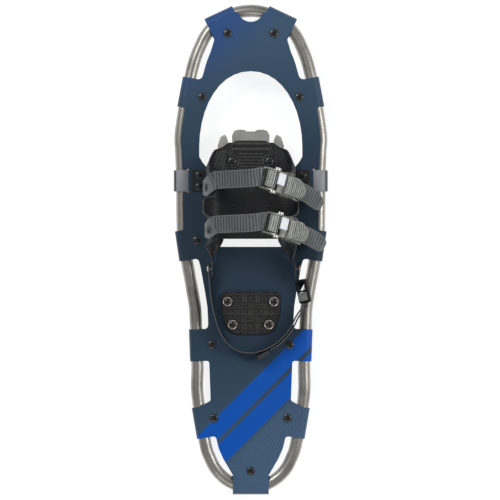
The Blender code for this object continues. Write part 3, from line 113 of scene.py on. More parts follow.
class Finish:  # a material, and the one method that makes its nodes
    def __init__(self, name, colour, roughness, metallic=0.0, **fixed):
        self.material = bpy.data.materials.new(name)
        self.material.use_nodes = True
        self.tree = self.material.node_tree
        self.shader = self.tree.nodes["Principled BSDF"]
        self.paint(colour, roughness, Metallic=metallic, **fixed)

    def node(self, kind, settings=None, values=None, out=0):
        made = self.tree.nodes.new(kind)
        for key, value in (settings or {}).items():
            setattr(made, key, value)
        for key, value in (values or {}).items():
            self.put(made.inputs[key], value)
        return Wire(self, made.outputs[out])

    def put(self, socket, value):
        if isinstance(value, Wire):
            self.tree.links.new(value.socket, socket)
        else:
            socket.default_value = value

    def paint(self, colour, roughness, **more):
        for key, value in {"Base Color": colour, "Roughness": roughness, **more}.items():
            self.put(self.shader.inputs[key], value)

    def point(self, scales=None):  # the point on the piece, stretched or not
        point = self.node("ShaderNodeTexCoord", out=3)
        return self.stretch(point, scales) if scales else point

    def ownPoint(self):  # along, across and up on the piece's own surface
        return self.node("ShaderNodeAttribute", {"attribute_name": "lay"}, out=1)

    def parts(self, point):
        sockets = self.node("ShaderNodeSeparateXYZ", values={0: point}).socket.node.outputs
        return [Wire(self, socket) for socket in sockets]

    def noise(self, scale, detail=3.0, roughness=0.55, point=None):
        values = {"Vector": point or self.point(), "Scale": scale, "Detail": detail, "Roughness": roughness}
        return self.node("ShaderNodeTexNoise", values=values)

    def mix(self, share, first, second):
        return self.node("ShaderNodeMix", {"data_type": "RGBA"}, {0: share, 6: first, 7: second}, out=2)

    def stretch(self, point, scales):
        return self.node("ShaderNodeVectorMath", {"operation": "MULTIPLY"}, {0: point, 1: scales})

    def bump(self, height, depth, strength=1.0):
        values = {"Height": height, "Distance": depth, "Strength": strength}
        self.put(self.shader.inputs["Normal"], self.node("ShaderNodeBump", values=values))


def tone(red, green, blue):  # a display colour, 0 to 255, as the shader's linear one
    parts = np.array([red, green, blue]) / 255
    linear = np.where(parts <= 0.04045, parts / 12.92, ((parts + 0.055) / 1.055) ** 2.4)
    return (*[float(part) for part in linear], 1.0)


# Finishes

deckLook = {
    "middle": tone(42, 60, 76), "ends": tone(66, 92, 118), "mottle": tone(30, 42, 54),
    "band": tone(0, 88, 190), "line": tone(92, 120, 156), "stripe": tone(22, 78, 158),
    "wideBand": (0.1718, 0.2024), "narrowBand": (0.2098, 0.2420), "linePitch": 0.0042,
    "streakPitch": 0.0048, "hatchPitch": 0.0017, "grain": 900.0, "roughness": 0.36,
}


def makeDeckFinish():
    look = deckLook
    finish = Finish("deckSheet", look["middle"], look["roughness"], **{"Specular IOR Level": 0.22})
    x, y, _ = finish.parts(finish.point())
    slant = x - y
    ends = (abs(y) + (finish.noise(9.0, 2.0) - 0.5) * 0.06).above(0.19, 0.13)
    lines = (slant.wave(look["linePitch"]) ** 2.0) * slant.above(0.246, 0.004) * x.above(-0.03, 0.05)
    streaks = 0.30 + 0.70 * slant.wave(look["streakPitch"])
    streaks = streaks * (y - x).above(0.292, 0.042) * y.above(0.215, 0.03)
    hatch = slant.wave(look["hatchPitch"]) * (x + y).above(-0.20, 0.10)
    bands = slant.between(*look["wideBand"]) + slant.between(*look["narrowBand"])
    mottle = finish.noise(130.0, 4.0)
    colour = look["middle"]
    for share, over in ((ends, "ends"), (lines * 0.8, "line"), (streaks * 0.80, "stripe"),
                        (bands * (1 - hatch * 0.12), "band"), (mottle * 0.16, "mottle")):
        colour = finish.mix(share, colour, look[over])
    finish.paint(colour, look["roughness"] + mottle * 0.16)
    emboss = y.between(-0.0022, -0.0012) + y.between(-0.0052, -0.0044)
    height = finish.noise(look["grain"], 3.0, 0.6) * 0.12 + finish.noise(22.0, 1.0) * 2.0
    finish.bump(height + emboss * abs(x).above(0.052) * 0.2, 0.0008, 0.55)
    return finish


def makeMetalFinish(name, colour, roughness, scales, scratch):
    finish = Finish(name, colour, roughness, 1.0)
    lines = finish.noise(60.0, 4.0, point=finish.point(scales))
    stain = finish.noise(30.0)
    dull = tuple(0.62 * c for c in colour[:3]) + (1.0,)
    finish.paint(finish.mix(stain.above(0.58, 0.12) * 0.5, colour, dull),
                 roughness + (lines - 0.5) * 0.22 + stain * 0.08)
    finish.bump(lines, scratch, 0.35)
    return finish


def makeTubeFinish():
    bright, stained = tone(172, 169, 161), tone(128, 126, 118)
    finish = Finish("satinAluminium", bright, 0.30, 1.0)
    lines = finish.noise(900.0, point=finish.stretch(finish.ownPoint(), (4.0, 1.0, 1.0)))
    stain = finish.noise(40.0, 4.0)
    finish.paint(finish.mix(stain.above(0.56, 0.14) * 0.6, bright, stained), 0.30 + stain * 0.14 + lines * 0.06)
    finish.bump(lines, 0.00004, 0.3)
    return finish


def makePlasticFinish(name, colour, roughness, grain, depth):
    finish = Finish(name, colour, roughness)
    fine = finish.noise(grain, 3.0, 0.6)
    pale = tuple(min(1.0, c * 2.4 + 0.006) for c in colour[:3]) + (1.0,)
    finish.paint(finish.mix(finish.noise(55.0, 4.0).above(0.56, 0.16) * 0.45, colour, pale),
                 roughness + (fine - 0.5) * 0.18)
    finish.bump(fine, depth, 0.6)
    return finish


def makeHarnessFinish():
    floor, wing, worn = tone(20, 20, 22), tone(44, 44, 47), tone(62, 62, 66)
    finish = Finish("mouldedHarness", wing, 0.46)
    x, y, z = finish.parts(finish.point())
    side, cloud = abs(x), finish.noise(40.0, 4.0)
    # Below z 0.05, on the floor and the wings' roots, the one moulded material is painted darker: painted shade
    # between the wings
    colour = finish.mix(z.above(0.0500, 0.006), floor, wing)
    finish.paint(finish.mix(cloud.above(0.58, 0.15) * 0.3, colour, worn), 0.40 + cloud * 0.2)
    ribs = y.wave(0.0042) * side.above(0.046, 0.003) * (1 - z.above(0.060, 0.004))
    slant = (side + y * 0.35).wave(0.0036) * y.between(0.102, 0.129, 0.001)
    slant = slant * side.between(0.0315, 0.0460, 0.0008)
    finish.bump(finish.noise(1300.0, 2.0) * 0.10 + (ribs + slant) * 0.5, 0.0010, 0.8)
    return finish


def makeLadderFinish():
    plain, pale, under = tone(98, 102, 101), tone(116, 120, 120), tone(42, 46, 46)
    finish = Finish("ladderGrey", plain, 0.40)
    up = finish.parts(finish.ownPoint())[2]
    cloud = finish.noise(60.0, 4.0)
    colour = finish.mix(cloud.above(0.55, 0.2) * 0.5, plain, pale)
    # Below 0.5 mm up the strap's section, in the grooves between the ribs and on the underside, the grey is
    # painted dark: painted shade in the grooves
    finish.paint(finish.mix((0.0005 - up).above(0.0, 0.0004) * 0.9, colour, under), 0.34 + cloud * 0.16)
    finish.bump(finish.noise(1500.0, 2.0), 0.00006, 0.5)
    return finish


def makeWebbingFinish():
    low, high, selvedge = tone(24, 24, 27), tone(66, 66, 70), tone(88, 88, 90)
    finish = Finish("wovenWebbing", low, 0.72)
    along, across, _ = finish.parts(finish.ownPoint())
    warp, weft = along.wave(0.0011), across.wave(0.0016)
    weave = warp * weft + (1 - warp) * (1 - weft)
    colour = finish.mix(weave * 0.55, low, high)
    finish.paint(finish.mix(abs(across).above(0.0086, 0.0004) * 0.7, colour, selvedge), 0.62 + weave * 0.2)
    finish.bump(weave, 0.00025, 0.8)
    return finish


def makeBandFinish():
    # The strap is black. pale and deep paint a reflection over its top and inner run, a painted sheen, and only
    # past |x| 0.0962 does its own black show
    pale, deep, outerBlack = tone(152, 154, 160), tone(120, 122, 128), tone(14, 14, 16)
    finish = Finish("greyBand", pale, 0.42)
    x, y, z = finish.parts(finish.point())
    weave = y.wave(0.0012) * (x + z).wave(0.0012)
    outer = abs(x).above(0.0962, 0.0003)
    finish.paint(finish.mix(outer, finish.mix(weave * 0.3, pale, deep), outerBlack), 0.42 - outer * 0.22)
    finish.bump(weave, 0.00012, 0.6)
    return finish


def makeRivetFinish(name, ring, ringTone, metal, soft):
    black, worn = tone(10, 10, 12), tone(44, 44, 48)
    finish = Finish(name, black, 0.22, **{"Coat Weight": 0.5})
    # band is a ring of ringTone round the axis: on the black rivets it is a painted highlight on the head's
    # rim, on the ringed rivets it is the real pale metal eyelet
    band = finish.parts(finish.ownPoint())[0].between(*ring, soft)
    cloud = finish.noise(300.0, 4.0)
    colour = finish.mix(cloud.above(0.6, 0.1) * 0.5, black, worn)
    finish.paint(finish.mix(band, colour, ringTone), 0.18 + cloud * 0.2)
    if metal:
        finish.put(finish.shader.inputs["Metallic"], band * metal)
    return finish


def makeBuckleFinish(name, colour, dark, **fixed):
    finish = Finish(name, colour, 0.2, **fixed)
    swirl = finish.noise(130.0, 5.0, 0.6, finish.point((1.0, 1.0, 1.6)))
    finish.paint(finish.mix(swirl.above(0.52, 0.10) * 0.75, colour, dark), 0.22 + swirl * 0.20)
    finish.bump(finish.noise(420.0, 2.0), 0.0002, 0.5)
    return finish


def makeReliefFinish(name, low, high, dark, pale, roughness, grain, **fixed):  # painted shade in the grooves, painted highlights on the ridge tops
    finish = Finish(name, pale, roughness, **fixed)
    up = finish.parts(finish.ownPoint())[2]
    fine = finish.noise(grain, 3.0, 0.6)
    colour = finish.mix(up.above((low + high) / 2, (high - low) / 2), dark, pale)
    finish.paint(finish.mix(finish.noise(120.0, 4.0).above(0.56, 0.14) * 0.35, colour, dark),
                 roughness + (fine - 0.5) * 0.2)
    finish.bump(fine, 0.00012, 0.5)
    return finish


def makeLeverFinish():  # a smoky body with painted highlights on the arc ribs, on the raised steps over the pin and on the side edges, dark between the steps
    smoky, pale, stain = tone(44, 45, 38), tone(180, 182, 174), tone(92, 92, 76)
    finish = Finish("ribbedLever", pale, 0.3, **{"Coat Weight": 0.15})
    along, across, _ = finish.parts(finish.ownPoint())
    fromPin, aside = along + 0.0040, across * 0.85
    reach = (fromPin * fromPin + aside * aside) ** 0.5
    shell, side = along.above(0.0145, 0.0008), abs(across)
    steps = along.wave(0.0030).above(0.55, 0.15) * (1 - side.above(0.0094, 0.0004))
    share = (steps * 0.9 + side.above(0.0098, 0.0006) * 0.5) * (1 - shell)
    share = share + (reach.wave(buckle["ribPitch"]) ** 0.8) * shell * 0.85
    cloud = finish.noise(170.0, 5.0)
    colour = finish.mix(cloud.above(0.54, 0.12) * 0.3, finish.mix(share, smoky, pale), stain)
    finish.paint(colour, 0.30 + cloud * 0.12)
    return finish


def makeFinishes():
    return {
        "deck": makeDeckFinish(),
        "tube": makeTubeFinish(),
        "steel": makeMetalFinish("platedSteel", tone(196, 194, 186), 0.36, (1.0, 6.0, 1.0), 0.00012),
        "band": makeBandFinish(),
        "plastic": makePlasticFinish("blackPlastic", tone(22, 22, 24), 0.34, 900.0, 0.00012),
        "toePad": makeReliefFinish("toePadRubber", padTop - 0.0002, padTop + 0.0008, tone(13, 13, 13),
                                   tone(64, 64, 62), 0.50, 1100.0),
        "heelPad": makeReliefFinish("heelPadRubber", 0.0433, 0.0442, tone(12, 12, 11), tone(50, 50, 46),
                                    0.52, 1100.0),
        "harness": makeHarnessFinish(),
        "ladder": makeLadderFinish(),
        "webbing": makeWebbingFinish(),
        # The black rivets' ring, tone(66, 68, 72), is a painted highlight on the head's rim
        "rivet": makeRivetFinish("blackRivet", (0.0041, 0.0052), tone(66, 68, 72), 0.0, 0.0003),
        "ringed": makeRivetFinish("ringedRivet", (0.0045, 0.0061), tone(176, 166, 160), 0.8, 0.00015),
        "release": makeReliefFinish("ridgedPlastic", 0.0112, 0.0128, tone(44, 44, 40), tone(178, 180, 176),
                                    0.34, 90.0, **{"Coat Weight": 0.1}),
        "lever": makeLeverFinish(),
        "buckle": makeBuckleFinish("smokyPlastic", tone(150, 151, 142), tone(70, 70, 58),
                                   **{"Coat Weight": 0.6}),
        # The block's near-white tone is a painted highlight: the glint on the buckle's flat shiny face
        "block": makeBuckleFinish("paleBlock", tone(250, 251, 255), tone(238, 240, 246)),
        "cam": makeBuckleFinish("greyCam", tone(152, 154, 152), tone(104, 106, 104)),
    }


# Paths and solids

def smoothPath(points, count):  # a Catmull-Rom curve through the points, at even spacing
    p = np.array(points, float)
    p = np.vstack([2 * p[0] - p[1], p, 2 * p[-1] - p[-2]])
    t = np.linspace(0.0, 1.0, 24, endpoint=False)[:, None]
    pieces = []
    for a, b, c, d in zip(p, p[1:], p[2:], p[3:]):
        square, cube = 2 * a - 5 * b + 4 * c - d, 3 * b - a - 3 * c + d
        pieces.append(0.5 * (2 * b + (c - a) * t + square * t**2 + cube * t**3))
    curve = np.vstack([*pieces, p[-2:-1]])
    return evenly(curve, count)


def reachAlong(path):  # how far along the path each of its points is
    return np.concatenate([[0.0], np.cumsum(np.linalg.norm(np.diff(path, axis=0), axis=1))])


def evenly(curve, count):
    reach = reachAlong(curve)
    wanted = np.linspace(0.0, reach[-1], count)
    return np.stack([np.interp(wanted, reach, column) for column in curve.T], axis=1)


def arc(centre, radius, start, end, steps):
    turns = np.linspace(start, end, steps + 1)
    return [(centre[0] + radius * cos(a), centre[1] + radius * sin(a)) for a in turns]


def unit(vectors):
    return vectors / np.maximum(np.linalg.norm(vectors, axis=-1, keepdims=True), 1e-12)


def rounding(share):  # a quarter circle's height, from 0 to 1
    return np.sqrt(1 - (1 - np.clip(share, 0, 1)) ** 2)


def ridges(distance, pitch, steep=3.0):  # flat-topped waves of that pitch, from 0 to 1
    return 0.5 + 0.5 * np.tanh(steep * np.cos(2 * pi * distance / pitch))


def linked(name, data):  # a new object in the scene
    obj = bpy.data.objects.new(name, data)
    bpy.context.scene.collection.objects.link(obj)
    return obj


def pieceName(node):  # toe_crampon becomes toeCrampon
    first, *rest = node.split("_")
    return first + "".join(word.title() for word in rest)


def dress(obj, look):
    obj.data.materials.clear()
    obj.data.materials.append(finishes[look].material)
    return obj


def eased(x, xs, ys):  # a curve through the points with no overshoot: Hermite pieces, slopes by harmonic mean
    xs, ys = np.asarray(xs, float), np.asarray(ys, float)
    step, slope = np.diff(xs), np.diff(ys, axis=0) / np.diff(xs)[:, None]
    both = slope[:-1] * slope[1:]
    middle = np.where(both > 0, 2 * both / np.where(both > 0, slope[:-1] + slope[1:], 1.0), 0.0)
    tangent = np.vstack([slope[:1], middle, slope[-1:]])
    k = np.clip(np.searchsorted(xs, x, side="right") - 1, 0, len(step) - 1)
    t = ((x - xs[k]) / step[k])[:, None]
    h = step[k][:, None]
    return (ys[k] * (2 * t**3 - 3 * t**2 + 1) + h * tangent[k] * (t**3 - 2 * t**2 + t)
            + ys[k + 1] * (3 * t**2 - 2 * t**3) + h * tangent[k + 1] * (t**3 - t**2))


def solidOf(name, points, faces, caps=(), lay=None, sharp=radians(38)):
    # A mesh from points, an array of quads and a few many-sided caps, turned to face outwards
    a, b, c, d = (points[faces[:, k]] for k in range(4))
    volume = np.einsum("ij,ij->", a, np.cross(b, c)) + np.einsum("ij,ij->", a, np.cross(c, d))
    for cap in caps:
        ring = points[cap]
        volume += np.einsum("ij,ij->", np.tile(ring[0], (len(ring) - 2, 1)), np.cross(ring[1:-1], ring[2:]))
    if volume < 0:
        faces, caps = faces[:, ::-1], [cap[::-1] for cap in caps]
    corners = np.concatenate([faces.ravel(), *caps]) if len(caps) else faces.ravel()
    counts = np.concatenate([np.full(len(faces), 4), [len(cap) for cap in caps]]).astype(np.int32)
    mesh = bpy.data.meshes.new(name)
    mesh.vertices.add(len(points))
    mesh.vertices.foreach_set("co", points.astype(np.float32).ravel())
    mesh.loops.add(len(corners))
    mesh.loops.foreach_set("vertex_index", corners.astype(np.int32))
    mesh.polygons.add(len(counts))
    mesh.polygons.foreach_set("loop_start", np.concatenate([[0], np.cumsum(counts)[:-1]]).astype(np.int32))
    mesh.polygons.foreach_set("use_smooth", np.ones(len(counts), bool))
    if lay is not None:
        attribute = mesh.attributes.new("lay", "FLOAT_VECTOR", "POINT")
        attribute.data.foreach_set("vector", lay.astype(np.float32).ravel())
    mesh.update(calc_edges=True)
    mesh.validate()
    mesh.set_sharp_from_angle(angle=sharp)
    return linked(name, mesh)


def gridFaces(rows, columns, roundRows=False, roundColumns=False):
    r, c = np.arange(rows if roundRows else rows - 1), np.arange(columns if roundColumns else columns - 1)
    down, right = ((r + 1) % rows)[:, None] * columns, (c + 1) % columns
    here = r[:, None] * columns
    return np.stack([here + c, here + right, down + right, down + c], axis=-1).reshape(-1, 4)


def ringSolid(name, grid, lay=None, capped=True, **more):  # rings of points joined to a tube with two caps
    rows, columns = grid.shape[:2]
    caps = [np.arange(columns), np.arange(columns)[::-1] + (rows - 1) * columns] if capped else []
    faces = gridFaces(rows, columns, not capped, True)
    return solidOf(name, grid.reshape(-1, 3), faces[:, ::-1], caps,
                   None if lay is None else lay.reshape(-1, 3), **more)


def turnedSolid(name, profile, place, axis, steps=32, **more):
    # A profile of (radius, height) spun about an axis: x = r cos a, y = r sin a, z = height
    profile = np.array(profile, float)
    turns = np.linspace(0.0, 2 * pi, steps, endpoint=False)
    flat = np.stack([profile[:, :1] * np.cos(turns), profile[:, :1] * np.sin(turns),
                     np.repeat(profile[:, 1:], steps, axis=1)], axis=-1)
    turn = np.array(Vector((0, 0, 1)).rotation_difference(Vector(axis)).to_matrix())
    lay = np.stack([np.repeat(profile[:, :1], steps, axis=1), np.zeros(flat.shape[:2]), flat[..., 2]], axis=-1)
    return ringSolid(name, flat @ turn.T + np.array(place), lay, **more)


def bandSolid(name, path, across, profile, **more):
    # A cross-section of (aside, up) points carried along a path: point + aside * across + up * normal
    path, across = np.asarray(path, float), unit(np.asarray(across, float))
    tangent = unit(np.gradient(path, axis=0))
    across = unit(across - (across * tangent).sum(1, keepdims=True) * tangent)
    up = np.cross(across, tangent)
    profile = np.asarray(profile, float)
    if profile.ndim == 2:
        profile = np.broadcast_to(profile, (len(path), *profile.shape))
    grid = path[:, None] + profile[..., :1] * across[:, None] + profile[..., 1:] * up[:, None]
    reach = reachAlong(path)
    lay = np.concatenate([np.broadcast_to(reach[:, None, None], (*profile.shape[:2], 1)), profile], axis=-1)
    return ringSolid(name, grid, lay, **more)


def roundedRing(width, thickness, corner, steps=3):  # a rectangle's outline with rounded corners
    ring = []
    for k, (sx, sy) in enumerate(((1, 1), (-1, 1), (-1, -1), (1, -1))):
        centre = (sx * (width / 2 - corner), sy * (thickness / 2 - corner))
        ring += arc(centre, corner, k * pi / 2, (k + 1) * pi / 2, steps)
    return np.array(ring)


def turned(points, matrix):
    return points @ np.array(matrix.to_3x3()).T + np.array(matrix.translation)


def outlineSolid(name, outline, width, matrix, bevel):  # an outline in the matrix's XZ, widened along Y
    flat = np.array([(u, 0.0, w) for u, w in outline])
    grid = np.stack([flat + (0.0, side * width / 2, 0.0) for side in (-1, 1)])
    return soften(ringSolid(name, turned(grid, matrix)), bevel)


def reliefSolid(name, ends, halfWidth, top, bottom, counts, matrix, crown, **more):
    # A slab whose plan is a half width along u and whose faces are heights over (u, v), its rim rounded off
    nu, nv = counts
    u = np.linspace(*ends, nu)[:, None]
    s = np.sin(np.linspace(-pi / 2, pi / 2, nv))[None, :]
    half = np.asarray(halfWidth(u[:, 0]))[:, None]
    v = s * half
    u = np.broadcast_to(u, v.shape)
    inside = np.minimum(half - np.abs(v), np.minimum(u - ends[0], ends[1] - u))
    fall = crown * (1 - rounding(inside / crown))
    high, low = top(u, v) - fall, bottom(u, v)
    upper, lower = np.stack([u, v, high], -1), np.stack([u, v, low], -1)[:, ::-1]
    grid = np.concatenate([upper, lower], axis=1)
    return ringSolid(name, turned(grid, matrix), grid, **more)


def soften(obj, width, segments=2, angle=radians(35)):
    bevel = obj.modifiers.new("Bevel", "BEVEL")
    bevel.width, bevel.segments, bevel.limit_method, bevel.angle_limit = width, segments, "ANGLE", angle
    bevel.use_clamp_overlap = True
    bevel.miter_outer = "MITER_ARC"
    flat = obj.modifiers.new("Flat faces", "WEIGHTED_NORMAL")
    flat.keep_sharp = True
    return obj


def fineCopy(name, node, width=0.0003, sharp=radians(32)):  # the CAD solid, merged, with its edges eased
    bm = bmesh.new()
    bm.from_mesh(frame["nodes"][node].data)
    bmesh.ops.remove_doubles(bm, verts=bm.verts, dist=1e-6)
    bmesh.ops.dissolve_limit(bm, angle_limit=radians(0.8), verts=bm.verts, edges=bm.edges)
    bmesh.ops.remove_doubles(bm, verts=bm.verts, dist=5e-5)
    mesh = bpy.data.meshes.new(name)
    bm.to_mesh(mesh)
    bm.free()
    mesh.polygons.foreach_set("use_smooth", np.ones(len(mesh.polygons), bool))
    mesh.set_sharp_from_angle(angle=sharp)
    mesh.materials.clear()
    return soften(linked(name, mesh), width)


def finishPiece(obj, look, body, nodes=()):
    dress(obj, look)
    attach(obj, body)
    if nodes:
        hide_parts(*nodes)
    return obj


# Stage and camera

stage = {
    "distance": 3.4, "frameWidth": 0.6450, "aim": (-0.0010, -0.0006, 0.0400), "floor": 1.6,
    "lamps": (  # name, place, size, watts
        ("keyLamp", (-1.1, 1.3, 1.9), 0.9, 22.0),
        ("sideLamp", (1.6, 0.2, 1.4), 0.8, 14.0),
        ("tailLamp", (-0.5, -1.7, 1.5), 1.0, 8.0),
    ),
}


def makeStage():
    camera = linked("camera", bpy.data.cameras.new("camera"))
    camera.location = Vector(stage["aim"]) + Vector((0, 0, stage["distance"]))
    camera.data.sensor_width = 36.0
    camera.data.lens = 36.0 * stage["distance"] / stage["frameWidth"]
    camera.data.clip_start, camera.data.clip_end = 0.05, 30.0
    bpy.context.scene.camera = camera
    floor = gridPlane("floor", stage["floor"], -0.0006)
    paper = Finish("palePaper", tone(160, 160, 160), 0.9, **{"Emission Color": (1, 1, 1, 1),
                                                           "Emission Strength": 0.82})
    floor.data.materials.append(paper.material)
    for name, place, size, watts in stage["lamps"]:
        light = bpy.data.lights.new(name, "AREA")
        light.shape, light.size, light.energy = "DISK", size, watts
        lamp = linked(name, light)
        lamp.location = place
        lamp.rotation_euler = (-Vector(place)).to_track_quat("-Z", "Y").to_euler()
    world = bpy.data.worlds.new("studio")
    world.use_nodes = True
    sky = world.node_tree.nodes["Background"].inputs
    sky["Color"].default_value, sky["Strength"].default_value = (0.93, 0.96, 1.0, 1.0), 0.30
    bpy.context.scene.world = world
    bpy.context.scene.view_settings.view_transform = "Standard"


def gridPlane(name, half, height):
    mesh = bpy.data.meshes.new(name)
    corners = [(x * half, y * half, height) for x, y in ((-1, -1), (1, -1), (1, 1), (-1, 1))]
    mesh.from_pydata(corners, [], [(0, 1, 2, 3)])
    return linked(name, mesh)


# Frame tube and deck

tube = {"rings": 380, "sides": 36, "spliceGap": 0.002}
# Shares of the half width and half length, from the toe's bend to the tail's
tubeSide = (
    (0.805, 0.785), (0.906, 0.657), (0.998, 0.486), (0.991, 0.405), (0.976, 0.285), (0.974, 0.162),
    (0.961, 0.050), (0.902, -0.060), (0.839, -0.161), (0.793, -0.243), (0.781, -0.311), (0.760, -0.486),
    (0.757, -0.612), (0.646, -0.813),
)


def tubePath():
    toe, tail = shoe["halfLength"] - shoe["toeRadius"], shoe["tailRadius"] + shoe["tailY"]
    points = arc((0.0, toe), shoe["toeRadius"], pi / 2, radians(22), 5)
    points += [(x * shoe["halfWidth"], y * shoe["halfLength"]) for x, y in tubeSide]
    points += arc((0.0, tail), shoe["tailRadius"], radians(-20), -pi / 2, 5)
    first, last = points[1], points[-2]
    path = smoothPath([(-first[0], first[1]), *points, (-last[0], last[1])], 1300)
    start = np.argmax(path[:, 0] >= 0)
    end = len(path) - np.argmax(path[::-1, 0] >= 0)
    return path[start:end]


halfPath = tubePath()


def tubeAt(y):  # how far from the middle the tube's centreline is at y
    return float(np.interp(-y, -halfPath[:, 1], halfPath[:, 0]))


def makeTube():
    # Two pipe walls joined at the splice: ring points are centre + radius (cos a * outward + sin a * up)
    whole = np.vstack([halfPath[::-1], halfPath[1:] * (-1, 1)])
    whole = whole[(np.abs(whole[:, 0]) > tube["spliceGap"] / 2) | (whole[:, 1] > 0)]
    path = evenly(whole, tube["rings"])
    path = np.column_stack([path, np.full(len(path), shoe["tubeHeight"])])
    turns = np.linspace(0.0, 2 * pi, tube["sides"], endpoint=False)
    tangent = unit(np.gradient(path, axis=0))
    outward = np.cross(tangent, (0.0, 0.0, 1.0))
    rings, lays = [], []
    reach, upward = reachAlong(path), np.array((0.0, 0.0, 1.0))
    walls = ((shoe["tubeRadius"], slice(None)), (shoe["tubeRadius"] - shoe["tubeWall"], slice(None, None, -1)))
    for radius, order in walls:
        aside, rise = radius * np.cos(turns)[None], radius * np.sin(turns)[None]
        ring = path[:, None] + aside[..., None] * outward[:, None] + rise[..., None] * upward
        rings.append(ring[order])
        lays.append(np.stack(np.broadcast_arrays(reach[:, None], aside, rise), -1)[order])
    obj = ringSolid("frameTube", np.concatenate(rings), np.concatenate(lays), capped=False)
    finishPiece(obj, "tube", "frame", ["frame_tube"])
    dress(frame["nodes"]["frame_sleeve"], "tube")


def makeDeck():
    obj = fineCopy("deckSheet", "deck", 0.00025)
    finishPiece(obj, "deck", "frame", ["deck"])


# Rivets

rivet = {"head": 0.0056, "height": 0.0022, "shank": 0.0020, "foot": 0.0012}


def rivetProfile(radius, height, drop, foot=2.0, ring=False):
    # A dished head: a raised rim round a low dome, then shank and foot
    turn = np.linspace(0.0, pi / 2, 9)
    rim = radius * 0.80
    if ring:  # a wide pale eyelet round a small black head
        dome = [(0.0002 + rim * 0.85 * sin(a), height * (0.45 + 0.55 * cos(a))) for a in turn]
        edge = [(radius * (0.86 + 0.16 * (1 - cos(a))), height * (0.40 + 0.35 * sin(a)))
                for a in np.linspace(0, pi, 7)]
    else:
        dome = [(0.0002 + rim * sin(a), height * (0.55 + 0.45 * cos(a))) for a in turn]
        edge = [(rim + (radius - rim) * (0.1 + 0.9 * sin(a / 2) ** 2), height * (0.42 + 0.18 * sin(a)))
                for a in np.linspace(0.3, pi, 6)]
    head = dome + edge
    shank, gap = rivet["shank"], shoe["gap"]
    head += [(head[-1][0], gap), (shank, gap * 0.9), (shank, -drop - gap), (shank * foot, -drop - gap * 1.1)]
    return head + [(shank * foot, -drop - rivet["foot"]), (0.0002, -drop - gap - rivet["foot"])]


def makeUprightRivets():
    for node, obj in sorted(frame["nodes"].items()):
        if "rivet" not in node or node.startswith(("front_", "rear_", "heel_rivet")):
            continue
        low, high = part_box(node)
        radius = (high.x - low.x) / 2
        ringed = node.startswith("heel_pad")
        height = rivet["height"]
        place = ((low.x + high.x) / 2, (low.y + high.y) / 2, high.z - height)
        drop = high.z - height - low.z - rivet["foot"] - shoe["gap"]
        profile = rivetProfile(radius * (1.22 if ringed else 1.0), height, drop, ring=ringed)
        made = turnedSolid(pieceName(node), profile, place, (0, 0, 1))
        finishPiece(made, "ringed" if ringed else "rivet", obj["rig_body"], [node])


# Harness shell

harness = {
    "thickness": 0.0018, "root": 0.0350, "rimX": 0.0445, "rimHeight": 0.0440, "slope": radians(34),
    "armLeft": 0.0507, "armRight": 0.0577, "heelRivetY": -0.0247, "rows": 150, "steps": 44, "floorSteps": 10,
}
floorTop = shoe["strapTop"] + 2 * shoe["gap"] + 0.0020 + harness["thickness"]
padTop = floorTop + shoe["gap"] + 0.0030
frontStrap = {
    "name": "front", "bulge": 0.0700, "anchorY": 0.0793, "anchorReach": 0.0130, "rise": 0.60, "crownY": 0.0902,
    "buckleX": 0.0372, "buckleY": 0.0828, "turn": radians(17), "tip": (0.0905, 0.0555, 0.0215),
}
rearStrap = {
    "name": "rear", "bulge": 0.0660, "anchorY": 0.0252, "anchorReach": 0.0075, "rise": 0.70, "crownY": 0.0336,
    "buckleX": 0.0407, "buckleY": 0.0270, "turn": radians(15.5), "tip": (0.0940, 0.0030, 0.0215),
}


def harnessRows(side):  # y, inner start x and height, bulge, rim x and height, and how far it curls in
    arm = harness["armRight"] if side > 0 else harness["armLeft"]
    rim, top, root, heel = harness["rimX"], harness["rimHeight"], harness["root"], harness["heelRivetY"]
    front, rear = frontStrap, rearStrap
    return (
        (0.1370, 0.0290, 0.0, 0.0300, 0.0306, 0.0004, 0.0),
        (0.1320, 0.0305, 0.0, 0.0355, 0.0368, 0.0020, 0.0),
        (0.1280, 0.0320, 0.0, 0.0440, 0.0470, 0.0070, 0.0),
        (0.1150, 0.0330, 0.0, 0.0540, 0.0525, 0.0200, 0.2),
        (0.1020, 0.0340, 0.0, 0.0620, 0.0530, 0.0340, 0.6),
        (front["anchorY"] + 0.0125, root, 0.0, front["bulge"], rim, top, 1.0),
        (front["anchorY"] - 0.0125, root, 0.0, front["bulge"], rim, top, 1.0),
        (0.0640, 0.0350, 0.0, 0.0670, 0.0590, 0.0310, 0.4),
        (0.0560, 0.0350, 0.0, 0.0640, 0.0605, 0.0270, 0.2),
        (0.0470, 0.0350, 0.0, 0.0640, 0.0590, 0.0310, 0.4),
        (rear["anchorY"] + 0.0125, root, 0.0, rear["bulge"], rim, top, 1.0),
        (rear["anchorY"] - 0.0115, root, 0.0, rear["bulge"], rim, top, 1.0),
        (0.0040, 0.0390, 0.0015, (0.0610 + arm) / 2 + 0.003, 0.0575, 0.0360, 0.2),
        (-0.0045, 0.0445, 0.0025, (0.0590 + arm) / 2, (0.0560 + arm) / 2, 0.0300, 0.0),
        (-0.0120, (0.0470 + arm) / 2, 0.0020, (0.0520 + arm) / 2, (0.0520 + arm) / 2, 0.0250, 0.0),
        (heel + 0.0075, arm, 0.0015, arm, arm, 0.0205, 0.0),
        (heel - 0.0040, arm, 0.0020, arm, arm, 0.0200, 0.0),
        (heel - 0.0110, arm, 0.0060, arm, arm, 0.0160, 0.0),
    )


